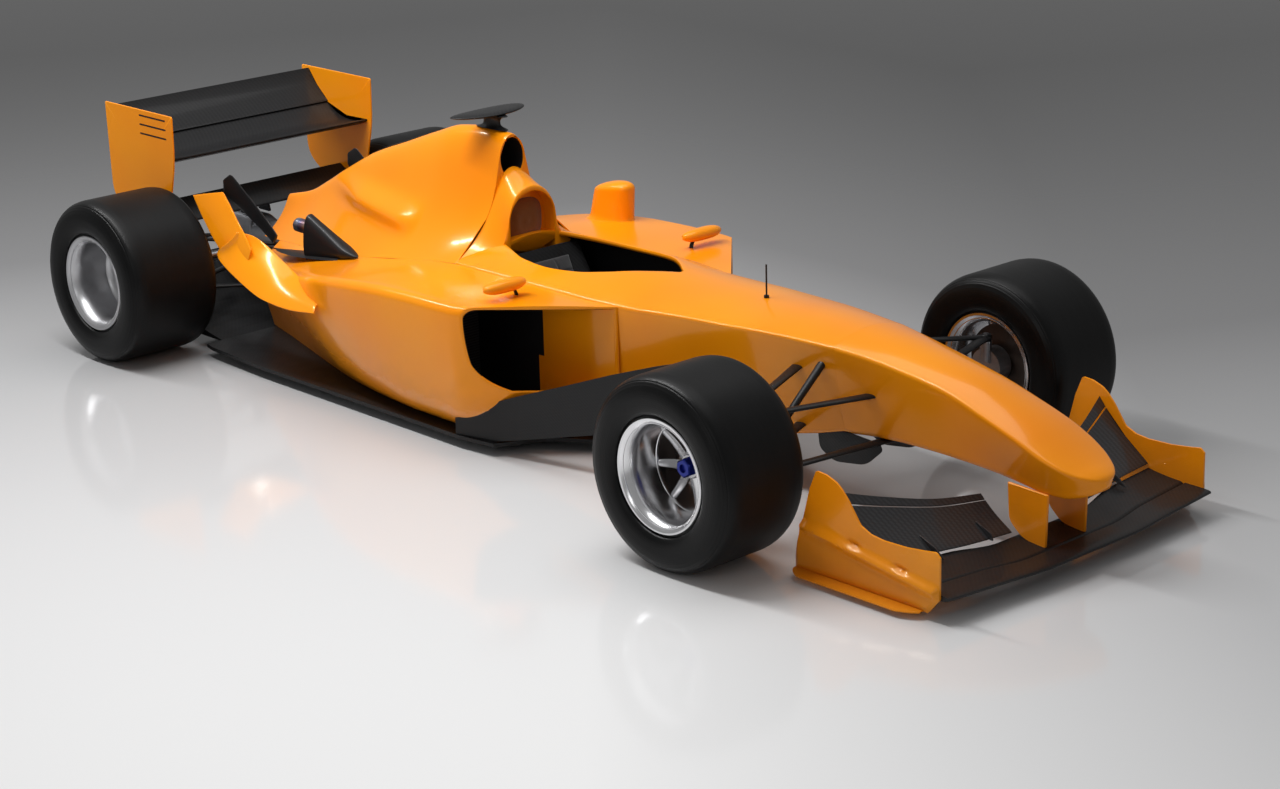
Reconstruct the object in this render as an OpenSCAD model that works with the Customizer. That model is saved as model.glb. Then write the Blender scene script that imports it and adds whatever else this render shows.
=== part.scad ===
// Open wheel racing car with wings, raised nose and slick tyres.
// Millimetres. +X to the nose, +Y to the left, +Z up; the tyres stand on z = 0 and the
// origin lies under the middle of the car's length.

/* [Car] */
// Distance between the front and the rear axle
wheelbase = 3200; // [2700:10:3700]
// Nose tip ahead of the front axle
front_overhang = 990; // [800:10:1200]
// Rear wing's edge behind the rear axle
rear_overhang = 450; // [360:5:540]

/* [Wheels] */
// Outer radius of all four tyres
tyre_r = 316; // [270:1:350]
// Width of a front tyre
front_tyre_w = 356; // [300:1:380]
// Width of a rear tyre
rear_tyre_w = 395; // [330:1:470]
// Centre of a front tyre from the car's middle
front_wheel_y = 763; // [700:1:860]
// Inner face of a rear tyre from the car's middle
rear_inner_y = 510; // [440:1:620]
// Radius of the rim where the tyre's bead sits
bead_r = 165; // [140:1:180]
// How far the front wheel's spokes lie behind its outer face
front_dish = 150; // [100:1:180]
// How far the rear wheel's disc lies behind its outer face
rear_dish = 185; // [100:1:200]
// Number of spokes in a front wheel
spokes = 9; // [5:1:12]
// Radius of the stub axles
axle_r = 25; // [18:1:32]
// Radius of the kingpins that the front uprights turn on
kingpin_r = 9; // [6:0.5:12]

/* [Body] */
// Half width of the monocoque beside the driver
tub_half_w = 285; // [250:1:320]
// Wall of the monocoque, cover and sidepods
skin = 10; // [6:1:14]
// Height of the monocoque's side edge beside the driver
sill_z = 543; // [500:1:600]
// Greatest half width over the sidepods
pod_half_w = 664; // [600:1:700]
// Height of the engine cover's crest over the air inlet
airbox_top_z = 968; // [900:1:1020]
// Length of the cockpit opening
cockpit_l = 780; // [650:5:850]
// Greatest half width of the cockpit opening
cockpit_half_w = 200; // [160:1:220]

/* [Floor] */
// Underside of the skid plank above the ground
ride_h = 20; // [15:1:60]
// Thickness of the skid plank
plank_t = 16; // [8:1:25]
// Thickness of the floor plate
floor_t = 14; // [8:1:20]
// Half width of the floor
floor_half_w = 595; // [500:1:690]
// Height of the diffuser's exit edge
diffuser_z = 235; // [150:1:260]

/* [Wings] */
// Half span of the front wing between its endplates
front_wing_half = 632; // [550:1:700]
// Height of the front wing's leading edge
front_wing_z = 78; // [60:1:120]
// Gap between a rear wing endplate and the tyre beside it
rear_wing_gap = 22; // [12:1:100]
// Top edge of the rear wing's endplates
rear_wing_z = 900; // [800:1:950]
// Thickness of the wings' endplates
endplate_t = 7; // [4:0.5:12]

/* [Hidden] */
$fn = 64;
fit_gap = 0.3;      // between pieces that sit on each other
running_fit = 0.05; // round a shaft that turns
tilt = 20;          // lean of the steering column
body = [0.93, 0.52, 0.07];
carbon = [0.07, 0.07, 0.08];
metal = [0.72, 0.73, 0.75];
rubber = [0.05, 0.05, 0.05];

gearbox_half = 125;
rear_wheel_y = rear_inner_y + rear_tyre_w / 2;
rear_wing_half = rear_inner_y - rear_wing_gap - endplate_t - fit_gap;
front_axle_x = (wheelbase + rear_overhang - front_overhang) / 2;
rear_axle_x = front_axle_x - wheelbase;
floor_z = ride_h + plank_t;
deck_z = floor_z + floor_t;
clear_floor = deck_z + fit_gap;
pod_in = tub_half_w + fit_gap;

// Stations are written for a wheelbase of 3200 with the axles at 1330 and -1870;
// bx() carries one to its place on a longer or shorter car.
base_front = 1330;
base_rear = -1870;
function bx(x) = x > base_front ? front_axle_x + (x - base_front) * front_overhang / 990
    : x < base_rear ? rear_axle_x + (x - base_rear) * rear_overhang / 450
    : rear_axle_x + (x - base_rear) * wheelbase / (base_front - base_rear);
// Side stations are written for a sidepod from 285.3 to 664; by() carries one to a wider or narrower car.
base_in = 285.3;
base_out = 664;
function by(y) = y < base_in ? y * pod_in / base_in
    : pod_in + (y - base_in) * (pod_half_w - pod_in) / (base_out - base_in);
function mix(a, b, t) = a + (b - a) * t;
function col(table, x, c) = lookup(x, [for (row = table) [row[0], row[c]]]);
function middle(ring) = let (one = [for (p = ring) 1]) one * ring / len(ring);
// Fan of triangles from point c round the ring of n points that starts at index a.
function fan(a, n, c, turn) = [for (j = [0 : n - 1]) turn > 0 ? [c, a + j, a + (j + 1) % n]
    : [c, a + (j + 1) % n, a + j]];

// Closed solid through rings of equally many points, with flat ends. Seen from the last ring,
// each ring runs anticlockwise.
module loft(rings) {
    n = len(rings[0]);
    last = len(rings) - 1;
    end = (last + 1) * n;
    points = concat([for (ring = rings) each ring], [middle(rings[0]), middle(rings[last])]);
    sides = [for (i = [0 : last - 1], j = [0 : n - 1]) each let (a = i * n + j, b = i * n + (j + 1) % n)
        [[a, a + n, b], [b, a + n, b + n]]];
    polyhedron(points, concat(sides, fan(0, n, end, 1), fan(last * n, n, end + 1, -1)));
}

// Shell between an outer and an inner row of rings, open at the first ring and closed at the last.
module duct(outer, inner) {
    n = len(outer[0]);
    last = len(outer) - 1;
    start = (last + 1) * n;
    end = 2 * start;
    points = concat([for (ring = outer) each ring], [for (ring = inner) each ring],
        [middle(outer[last]), middle(inner[last])]);
    skins = [for (i = [0 : last - 1], j = [0 : n - 1]) each
        let (a = i * n + j, b = i * n + (j + 1) % n, c = start + a, d = start + b)
        [[a, a + n, b], [b, a + n, b + n], [c, d, c + n], [d, d + n, c + n]]];
    mouth = [for (j = [0 : n - 1]) each let (k = (j + 1) % n)
        [[j, k, start + j], [k, start + k, start + j]]];
    polyhedron(points, concat(skins, mouth, fan(last * n, n, end, -1), fan(start + last * n, n, end + 1, 1)));
}

// Shell open underneath: rings run from the left base over the top to the right base.
module hood(outer, inner) {
    n = len(outer[0]);
    last = len(outer) - 1;
    start = (last + 1) * n;
    end = 2 * start;
    points = concat([for (ring = outer) each ring], [for (ring = inner) each ring],
        [middle(outer[0]), middle(outer[last]), middle(inner[0]), middle(inner[last])]);
    skins = [for (i = [0 : last - 1], j = [0 : n - 2]) each
        let (a = i * n + j, b = a + 1, c = start + a, d = c + 1)
        [[a, a + n, b], [b, a + n, b + n], [c, d, c + n], [d, d + n, c + n]]];
    rims = [for (i = [0 : last - 1]) each let (a = i * n, c = start + a, e = a + n - 1, g = start + e)
        [[a, c, a + n], [a + n, c, c + n], [e, e + n, g], [e + n, g + n, g]]];
    f = last * n;
    sills = [[0, n - 1, start], [n - 1, start + n - 1, start],
        [f, start + f, f + n - 1], [f + n - 1, start + f, start + f + n - 1]];
    polyhedron(points, concat(skins, rims, sills, fan(0, n, end, 1), fan(f, n, end + 1, -1),
        fan(start, n, end + 2, -1), fan(start + f, n, end + 3, 1)));
}

// Sheet of constant thickness t along X, Y or Z (d) through rows of points.
module sheet(rows, d) {
    n = len(rows[0]);
    m = len(rows);
    flat = [for (row = rows) each row];
    points = concat(flat, [for (p = flat) p + d]);
    faces = [for (i = [0 : m - 2], j = [0 : n - 2]) each let (a = i * n + j, c = m * n + a)
        [[a, a + 1, a + n], [a + 1, a + n + 1, a + n], [c, c + n, c + 1], [c + 1, c + n, c + n + 1]]];
    ends = [for (j = [0 : n - 2]) each let (a = j, c = m * n + j, e = (m - 1) * n + j, g = m * n + e)
        [[a, c, a + 1], [a + 1, c, c + 1], [e, e + 1, g], [e + 1, g + 1, g]]];
    edges = [for (i = [0 : m - 2]) each let (a = i * n, c = m * n + a, e = a + n - 1, g = c + n - 1)
        [[a, a + n, c], [a + n, c + n, c], [e, g, e + n], [e + n, g, g + n]]];
    polyhedron(points, concat(faces, ends, edges));
}

// Straight strut of lens section from a to b: w along the car, t thick.
module strut(a, b, w = 44, t = 16) {
    d = b - a;
    translate(a) rotate([0, acos(d[2] / norm(d)), atan2(d[1], d[0])])
        rotate([0, 0, 90]) linear_extrude(norm(d))
            polygon([for (i = [0 : 11]) [w / 2 * cos(30 * i), t / 2 * sin(30 * i)]]);
}
module pair() {
    children();
    mirror([0, 1, 0]) children();
}
// Flat plate in the XZ plane from y to y + t.
module plate_xz(y, t, outline) translate([0, y + t, 0]) rotate([90, 0, 0]) linear_extrude(t) polygon(outline);

// ---- Monocoque and nose ----
// Columns: x, half width at the side edge, height of that edge, rise of the deck, underside, half width there
tub_table = [
    [-399.7, tub_half_w, sill_z, 66, clear_floor, tub_half_w],
    [-60, tub_half_w, sill_z, 78, clear_floor, tub_half_w],
    [300, tub_half_w, sill_z, 84, clear_floor, tub_half_w],
    [460, 268, 542, 75, 70, 238],
    [620, 254, 550, 58, 92, 208],
    [760, 241, 557, 47, 118, 186],
    [887, 229, 560, 40, 146, 168],
    [1100, 204, 565, 37, 202, 145],
    [1349.7, 172, 560, 35, 256, 122]];
nose_table = [
    [1350, 172, 560, 35, 256, 122],
    [1483, 153, 547, 34, 268, 112],
    [1610, 141, 529, 32, 271, 104],
    [1780, 131, 499, 28, 268, 98],
    [1954, 135, 448, 24, 260, 98],
    [2080, 137, 405, 20, 246, 98],
    [2148, 134, 376, 18, 236, 96],
    [2208, 122, 350, 15, 236, 88],
    [2258, 99, 330, 12, 246, 72],
    [2294, 70, 318, 9, 260, 50],
    [2314, 36, 310, 5, 276, 26],
    [2320, 12, 304, 3, 284, 9]];
corner = 26; // radius along the lower edges

// Half of a section, from the lower corner over the side edge to the middle of the deck.
function hull_half(x, w, zr, rise, zb, wb, g) = let (r = min(corner, wb * 0.6, (zr - zb) * 0.4)) concat(
    [for (a = [0 : 30 : 90]) [bx(x), wb - g - r + r * sin(a), zb + g + r - r * cos(a)]],
    [for (t = [0.35, 0.7]) [bx(x), mix(wb, w, t) - g, mix(zb + r, zr, t)]],
    [for (t = [0 : 0.2 : 1]) [bx(x), (w - g) * (1 - t), zr - g + rise * (1 - pow(1 - t, 2))]]);
function hull_ring(row, g = 0) = let (h = hull_half(row[0], row[1], row[2], row[3], row[4], row[5], g))
    concat(h, [for (i = [len(h) - 2 : -1 : 0]) [h[i][0], -h[i][1], h[i][2]]]);
function tub_row(x) = [x, col(tub_table, x, 1), col(tub_table, x, 2), col(tub_table, x, 3),
    col(tub_table, x, 4), col(tub_table, x, 5)];
inside_x = [-388, -60, 300, 460, 620, 760, 887, 1100, 1330];

cockpit_front = 480;
cockpit_back = cockpit_front - cockpit_l;
// Outline of the opening: pointed in front, widest behind the middle, squared off at the back.
cockpit_table = [[0, 0.06], [0.12, 0.40], [0.28, 0.74], [0.45, 0.94],
    [0.62, 1], [0.8, 0.93], [0.92, 0.78], [1, 0.66]];
module cockpit_cut() {
    edge = [for (row = cockpit_table) [bx(cockpit_front - cockpit_l * row[0]), cockpit_half_w * row[1]]];
    translate([0, 0, 420]) linear_extrude(400)
        polygon(concat(edge, [for (i = [len(edge) - 1 : -1 : 0]) [edge[i][0], -edge[i][1]]]));
}
module monocoque() color(body) difference() {
    loft([for (row = tub_table) hull_ring(row)]);
    loft([for (x = inside_x) hull_ring(tub_row(x), skin)]);
    cockpit_cut();
}
module nose_cone() color(body) loft([for (row = nose_table) hull_ring(row)]);

// Antenna on the deck ahead of the driver.
antenna_x = 885;
module antenna() color(carbon) {
    foot_z = col(tub_table, antenna_x, 2) + col(tub_table, antenna_x, 3) + fit_gap;
    translate([bx(antenna_x), 0, foot_z]) {
        cylinder(h = 8, r = 9);
        cylinder(h = 114, r = 3);
    }
}

// ---- Driver's place ----
dash_x = 480;
dash_t = 12;
dash_size = [dash_t, 340, 430];
leg_hole = [dash_t + 2, 220, 200];
column_pos = [300, 0, 505];
column_r = 10;
hub_r = 26;
spoke_plate = [110, 200, 26];
grip = [124, 28, 34];
grip_y = 112;
seat_half_w = 190;
module dash_bulkhead() color(carbon) {
    foot_z = col(tub_table, dash_x + dash_t, 4) + skin + fit_gap;
    difference() {
        translate([bx(dash_x), -dash_size[1] / 2, foot_z]) cube(dash_size);
        translate([bx(dash_x) - 1, -leg_hole[1] / 2, foot_z + 60]) cube(leg_hole);
    }
    translate([bx(column_pos[0]), 0, column_pos[2]]) rotate([0, 90 + tilt, 0])
        cylinder(h = (bx(dash_x) + dash_t / 2 - bx(column_pos[0])) / cos(tilt), r = column_r);
}
module steering_wheel() color(carbon) translate([bx(column_pos[0]), 0, column_pos[2]])
    rotate([0, 90 + tilt, 0]) {
    difference() {
        translate([0, 0, -14]) cylinder(h = 54, r = hub_r);
        translate([0, 0, -0.5]) cylinder(h = 60, r = column_r + running_fit);
    }
    difference() {
        translate([-spoke_plate[0] / 2, -spoke_plate[1] / 2, -12]) cube(spoke_plate);
        translate([0, 0, -0.5]) cylinder(h = 60, r = 2 * column_r);
    }
    for (s = [-1, 1]) translate([-grip[0] / 2, s * grip_y - grip[1] / 2, -16]) cube(grip);
}
module seat() color(carbon) {
    base = clear_floor + skin;
    plate_xz(-seat_half_w, 2 * seat_half_w, [[bx(-276), 560], [bx(-290), 548], [bx(-250), base],
        [bx(150), base], [bx(170), base + 60], [bx(150), base + 72], [bx(40), base + 52], [bx(-40), base + 100],
        [bx(-150), 330]]);
}

// ---- Head fairing and engine cover ----
// Columns: x, crest height, base height, half width at the base, half width of the neck, sharpness of the flare
cover_table = [
    [-400, airbox_top_z, sill_z - 3, tub_half_w, 78, 3.6],
    [-520, airbox_top_z + 8, 530, tub_half_w, 88, 3.0],
    [-680, airbox_top_z - 7, 505, tub_half_w, 92, 2.6],
    [-810, 920, 487, tub_half_w, 88, 2.4],
    [-1000, 852, 458, tub_half_w, 78, 2.2],
    [-1207, 777, 436, by(266), 64, 2.1],
    [-1380, 690, 415, by(228), 50, 2.1],
    [-1513, 618, 400, by(196), 42, 2.1],
    [-1640, 556, 385, by(166), 34, 2.1],
    [-1780, 520, 372.5, by(140), 26, 2.1]];
cover_steps = [0, 0.1, 0.2, 0.32, 0.45, 0.58, 0.7, 0.8, 0.88, 0.95, 1];
// Half a section up to the crest height top: a rounded neck over a flared skirt.
function cover_half(x, top, zb, wb, wn, q) = [for (t = cover_steps)
    [bx(x), wn * sqrt(1 - pow(t, 4)) + (wb - wn) * pow(1 - t, q), mix(zb, top, t)]];
function cover_ring(row, top) = let (h = cover_half(row[0], top, row[2], row[3], row[4], row[5]))
    concat(h, [for (i = [len(h) - 2 : -1 : 0]) [h[i][0], -h[i][1], h[i][2]]]);
inlet_half_w = 54;
inlet_z = 880;
inlet_half_h = 74;
module engine_cover() color(body) {
    rows = [for (i = [len(cover_table) - 1 : -1 : 0]) cover_table[i]];
    last = len(rows) - 1;
    inside = [for (i = [0 : last]) let (r = rows[i], dx = i == 0 ? skin : i == last ? -skin : 0)
        cover_ring([r[0] + dx, r[1], r[2], r[3] - skin, r[4] - skin, r[5]], r[1] - skin)];
    difference() {
        hood([for (row = rows) cover_ring(row, row[1])], inside);
        translate([bx(-420), 0, inlet_z]) rotate([90, 0, 90]) linear_extrude(30)
            polygon([for (a = [0 : 15 : 345]) [inlet_half_w * cos(a), inlet_half_h * sin(a)]]);
    }
}

// Fairing ahead of the roll hoop, with the arch that the headrest stands in.
arch_half_w = 100;
arch_top_z = 745;
hood_front = -300;
head_table = [
    [-399.7, 822, 550, 265, 96, 3.2],
    [-350, 806, 552, 226, 106, 3.6],
    [hood_front, 790, 556, 186, 114, 4]];
module head_fairing() color(body) difference() {
    loft([for (row = head_table) cover_ring(row, row[1])]);
    loft([for (row = tub_table) hull_ring(row, -fit_gap)]);
    translate([bx(hood_front) - 60, 0, 0]) rotate([90, 0, 90]) linear_extrude(70) {
        translate([0, arch_top_z - arch_half_w]) circle(arch_half_w);
        translate([-arch_half_w, 500]) square([2 * arch_half_w, arch_top_z - arch_half_w - 500]);
    }
}
module headrest() color([0.35, 0.2, 0.05]) translate([bx(hood_front) - 59.7, 0, 0])
    rotate([90, 0, 90]) linear_extrude(34) union() {
        r = arch_half_w - fit_gap;
        intersection() {
            translate([0, arch_top_z - arch_half_w]) circle(r);
            translate([-r, 624]) square(2 * r);
        }
        translate([-r, 624]) square([2 * r, arch_top_z - arch_half_w - 624]);
    }

// Camera carried on a wing-shaped plate over the air inlet.
camera_x = -500;
camera_top = 64;
camera_t = 22;
camera_tip_y = 130;
module camera_wing() color(carbon) {
    foot_z = airbox_top_z + 8 + fit_gap;
    plate_z = camera_top - fit_gap - camera_t;
    translate([bx(camera_x), 0, foot_z]) {
        hull() {
            translate([20, 0, 0]) cylinder(h = plate_z + 6, r = 26, $fn = 32);
            translate([-40, 0, 0]) cylinder(h = plate_z + 6, r = 20, $fn = 32);
        }
        hull() for (s = [-1, 0, 1]) translate([-28 * abs(s), s * camera_tip_y, plate_z])
            scale([1, 0.4, 1]) cylinder(h = camera_t, r1 = 96 - 22 * abs(s), r2 = 110 - 26 * abs(s), $fn = 32);
    }
}

// ---- Sidepods ----
// Columns: x at the outer side, x at the monocoque, y there, top height there, outer top height,
// outer half width, height of the outer lower edge, half width there, underside height
pod_table = [
    [62, 443, col(tub_table, 443, 1) + 0.4, 540, 545, by(652), 300, by(622), 236],
    [10, 300, pod_in, 541, 545, by(660), 226, by(628), 150],
    [-130, 60, pod_in, 541, 545, pod_half_w, 92, by(590), clear_floor],
    [-330, -300, pod_in, 541, 540, pod_half_w, 96, by(588), clear_floor],
    [-520, -520, pod_in, 530, 526, by(658), 108, by(570), clear_floor],
    [-680, -680, pod_in, 505, 506, by(642), 118, by(542), clear_floor],
    [-850, -850, pod_in, 480, 476, by(602), 128, by(498), clear_floor],
    [-1010, -1010, pod_in, 457, 444, by(540), 136, by(440), clear_floor],
    [-1207, -1207, by(267.3), 436, 400, by(444), 142, by(368), clear_floor],
    [-1380, -1380, by(229.3), 415, 366, by(374), 146, by(312), clear_floor],
    [-1513, -1513, by(197.3), 400, 340, by(324), 150, by(272), clear_floor],
    [-1640, -1640, by(167.3), 385, 318, by(279), 150, by(236), clear_floor]];
pod_round = 34;
// Ring: up the inner wall, across the top, round the shoulder, down the side and back underneath.
function pod_ring(r, g) = let (
        yi = r[2] + g, zi = r[3] - g, zo = r[4] - g, yo = r[5] - g, zl = r[6] + g, yl = r[7] - g, zb = r[8] + g,
        k = min(pod_round, (yo - yi) * 0.4, (zo - zl) * 0.35),
        loop = concat(
            [[yi, zb], [yi, mix(zb, zi, 0.5)], [yi, zi]],
            [for (t = [0.3, 0.65]) [mix(yi, yo - k, t), mix(zi, zo, t)]],
            [for (a = [0 : 30 : 90]) [yo - k + k * sin(a), zo - k + k * cos(a)]],
            [for (t = [0.35, 0.7]) [mix(yo, yl + k * 0.2, t * t), mix(zo - k, zl, t)]],
            [[yl, zl], [mix(yi, yl, 0.9), mix(zb, zl, 0.35)], [mix(yi, yl, 0.75), zb], [mix(yi, yl, 0.4), zb]]))
    [for (p = loop) [bx(mix(r[1], r[0], (p[0] - r[2]) / (r[5] - r[2]))), p[0], p[1]]];
module pod_outside(grow = 0) loft([for (row = pod_table) pod_ring(row, -grow)]);
module pod() {
    n = len(pod_table);
    outer = [for (row = pod_table) pod_ring(row, 0)];
    inner = [for (i = [0 : n - 1]) let (r = pod_table[i], dx = i == n - 1 ? 12 : 0)
        pod_ring([r[0] + dx, r[1] + dx, r[2], r[3], r[4], r[5], r[6], r[7], r[8]], skin)];
    duct(outer, inner);
}
module sidepod_left() color(body) pod();
module sidepod_right() color(body) mirror([0, 1, 0]) pod();

// A radiator core stands in each sidepod.
radiator_x = -330;
radiator = [60, 190, 400];
module radiators() color(metal) pair()
    translate([bx(radiator_x), pod_in + skin + fit_gap, clear_floor + skin + fit_gap]) cube(radiator);

// Cooling outlet that stands on the left sidepod.
chimney_x = -490;
chimney_y = by(555);
chimney_top_z = 702;
chimney_r = 46;
module cooling_chimney() color(body) {
    foot = sill_z - 50;
    difference() {
        hull() {
            for (c = [[60, 50, chimney_r], [-70, 100, chimney_r], [40, 0, 26]]) // x, drop from the top, radius
                translate([bx(chimney_x) + c[0], chimney_y, foot])
                    cylinder(h = chimney_top_z - c[1] - foot, r = c[2], $fn = 32);
        }
        pod_outside(fit_gap);
    }
}

// Mirrors on short stalks over the sidepods' front lip.
mirror_pos = [90, by(470), 590];
module mirrors() color(body) pair() {
    difference() {
        translate([bx(mirror_pos[0]) - 12, mirror_pos[1] - 60, sill_z - 20])
            cube([24, 14, mirror_pos[2] - sill_z + 10]);
        pod_outside(fit_gap);
    }
    translate([bx(mirror_pos[0]), mirror_pos[1], mirror_pos[2]]) hull() for (s = [-1, 1])
        translate([0, s * 62, 0]) scale([1, 0.9, 0.66]) sphere(36, $fn = 24);
}

// Exhaust fairings on the sidepods' tops, each with its tailpipe.
exhaust_y = pod_in + 8; // inner face of the fairing
exhaust_w = 60;
pipe_r = 34;
pipe_wall = 5;
module tailpipe(x, z, r) translate([bx(x), exhaust_y + exhaust_w / 2, z])
    rotate([0, -92, 0]) cylinder(h = 130, r = r);
module exhausts() color(carbon) pair() difference() {
    union() {
        plate_xz(exhaust_y, exhaust_w, [for (p = [[-927, 470], [-940, 420], [-1250, 400], [-1254, 440],
            [-1200, 590]]) [bx(p[0]), p[1]]]);
        tailpipe(-1180, 520, pipe_r);
    }
    tailpipe(-1240, 522, pipe_r - pipe_wall);
    pod_outside(fit_gap);
}

// Flip-ups that lead the air over the rear tyres; x is counted forward from their rear ends.
// Columns: outer lower edge x, y, z and inner upper edge x, y, z
flip_table = [
    [715, by(640), 352, 685, by(560), 372],
    [495, by(648), 333, 505, by(520), 430],
    [295, by(650), 362, 355, by(490), 485],
    [120, by(645), 426, 245, by(470), 540],
    [35, by(628), 530, 185, by(462), 625],
    [0, by(610), 655, 155, by(465), 700]];
flip_gap = 39; // ahead of the rear tyres
flip_tail = rear_axle_x + tyre_r + flip_gap;
module flip_ups() color(body) pair() difference() {
    union() {
        sheet([for (r = flip_table) [for (t = [0 : 0.25 : 1])
            [flip_tail + mix(r[0], r[3], t), mix(r[1], r[4], t), mix(r[2], r[5], t)]]], [-6, 0, -9]);
        plate_xz(by(470), 10, [for (p = [[615, 400], [385, 380], [245, 545], [253, 548]])
            [flip_tail + p[0], p[1]]]);
    }
    pod_outside(fit_gap);
}

// ---- Floor ----
floor_front = 420;
floor_rear = -1620;
module floor_plate() color(carbon) {
    side = [[floor_front, 250], [200, 400], [120, floor_half_w - 22], [-40, floor_half_w],
        [-1240, floor_half_w - 8], [-1560, floor_half_w - 26], [floor_rear, floor_half_w - 40]];
    translate([0, 0, floor_z]) linear_extrude(floor_t) polygon(concat([for (p = side) [bx(p[0]), p[1]]],
        [for (i = [len(side) - 1 : -1 : 0]) [bx(side[i][0]), -side[i][1]]]));
    translate([bx(-1600), -150, ride_h]) cube([bx(floor_front - 20) - bx(-1600), 300, plank_t]);
}

// Diffuser: a rising tunnel roof between upright fences.
diffuser_gap = 32; // between the diffuser's side and the tyre beside it
diffuser_half = rear_inner_y - diffuser_gap;
diffuser_rear = -2180;
function diffuser_h(t) = floor_z + (diffuser_z - floor_z) * (0.35 * t + 0.65 * t * t);
diffuser_n = 8;
module diffuser() color(carbon) {
    x0 = bx(floor_rear) - fit_gap;
    x1 = bx(diffuser_rear);
    roof = [for (i = [0 : diffuser_n]) [mix(x0, x1, i / diffuser_n), diffuser_h(i / diffuser_n)]];
    plate_xz(-diffuser_half, 2 * diffuser_half, concat([for (p = roof) [p[0], p[1] + 8]],
        [for (i = [diffuser_n : -1 : 0]) roof[i]]));
    for (y = [-diffuser_half, -290, -110, 102, 282, diffuser_half - 8]) // six fences
        plate_xz(y, 8, concat([for (p = roof) [p[0], p[1] + 4]],
            [[x1, diffuser_h(1) - 90], [mix(x0, x1, 0.5), floor_z + 6]]));
}

// Bargeboards that turn the air round the sidepods. Columns: x, y, top height, lower height
barge_table = [[-60, 585, 110, clear_floor], [100, 553, 190, clear_floor], [210, 528, 232, 74],
    [400, 490, 300, 120], [600, 452, 374, 168], [790, 424, 438, 214], [870, 414, 462, 236]];
module bargeboards() color(carbon) pair() difference() {
    sheet([for (r = barge_table) [for (t = [0, 0.5, 1]) [bx(r[0]), r[1], mix(r[2], r[3], t)]]], [0, 6, 0]);
    pod_outside(fit_gap);
}

// ---- Front wing ----
front_wing_x = 2245;
// Wing section from the leading edge (x0, z0) to the trailing edge (x1, z1), sagging by belly.
function foil(y, x0, z0, x1, z1, thick, belly, n = 8) = let (
        c = norm([x1 - x0, z1 - z0]), ux = [(x1 - x0) / c, (z1 - z0) / c], uz = [ux[1], -ux[0]],
        line = function (s, k) let (m = -belly * 4 * s * (1 - s), h = thick * 2.6 * (sqrt(s) - s) + 1.2,
            p = [x0, z0] + ux * (c * s) + uz * (m + k * h / 2)) [p[0], y, p[1]])
    concat([for (i = [0 : n]) line(pow(i / n, 1.4), -1)], [for (i = [n : -1 : 1]) line(pow(i / n, 1.4), 1)]);
// Columns: share of the half span, leading edge x, z, trailing edge x, z
front_plane = [[-1, 0, 2, -250, 26], [-0.62, 14, -6, -230, 22], [-0.3, 30, -10, -190, 10],
    [0.3, 30, -10, -190, 10], [0.62, 14, -6, -230, 22], [1, 0, 2, -250, 26]];
module front_wing() color(carbon) loft([for (r = front_plane) foil(r[0] * front_wing_half,
    bx(front_wing_x + r[1]), front_wing_z + r[2], bx(front_wing_x + r[3]), front_wing_z + r[4], 30, 12)]);
front_flap = [[0.2, -205, 40, -315, 122], [0.45, -240, 48, -345, 140],
    [0.75, -262, 56, -400, 182], [1, -270, 60, -455, 226]];
module front_wing_flaps() color([0.16, 0.16, 0.17]) pair() {
    loft([for (r = front_flap) foil(r[0] * front_wing_half, bx(front_wing_x + r[1]), front_wing_z + r[2],
        bx(front_wing_x + r[3]), front_wing_z + r[4], 14, 8)]);
    for (t = [0.35, 0.7]) plate_xz(t * front_wing_half, 5, [[bx(front_wing_x - 180), front_wing_z + 28],
        [bx(front_wing_x - 245), front_wing_z + 30], [bx(front_wing_x - 285), front_wing_z + 92]]);
}
module front_wing_endplates() color(body) pair() {
    y = front_wing_half + fit_gap;
    tail = front_axle_x + tyre_r; // the rear edge follows the tyre behind it
    plate_xz(y, endplate_t, [[bx(2216), 81], [bx(2216), 221], [bx(2150), 212], [bx(2080), 204], [bx(1990), 202],
        [bx(1940), 208], [bx(1898), 226], [bx(1849), 293], [bx(1822), 322], [bx(1800), 338], [tail + 114, 352],
        [tail + 72, 356], [tail + 44, 290], [tail + 9, 160], [tail - 5, 111], [tail - 19, 30], [tail - 6, 22],
        [bx(2168), 22]]);
    translate([tail - 6, y, 22]) cube([bx(2150) - tail + 6, 62, 6]);
}
pylon_y = 90;
module nose_pylons() color(body) difference() {
    pair() plate_xz(pylon_y, 10, [[bx(2012), 300], [bx(2176), 300], [bx(2166), 66], [bx(2100), 76],
        [bx(2070), 83.5], [bx(2020), 130]]);
    loft([for (row = nose_table) hull_ring(row, -fit_gap)]);
    loft([for (r = front_plane) foil(r[0] * front_wing_half, bx(front_wing_x + r[1]), front_wing_z + r[2],
        bx(front_wing_x + r[3]), front_wing_z + r[4], 31, 12)]);
}

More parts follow.
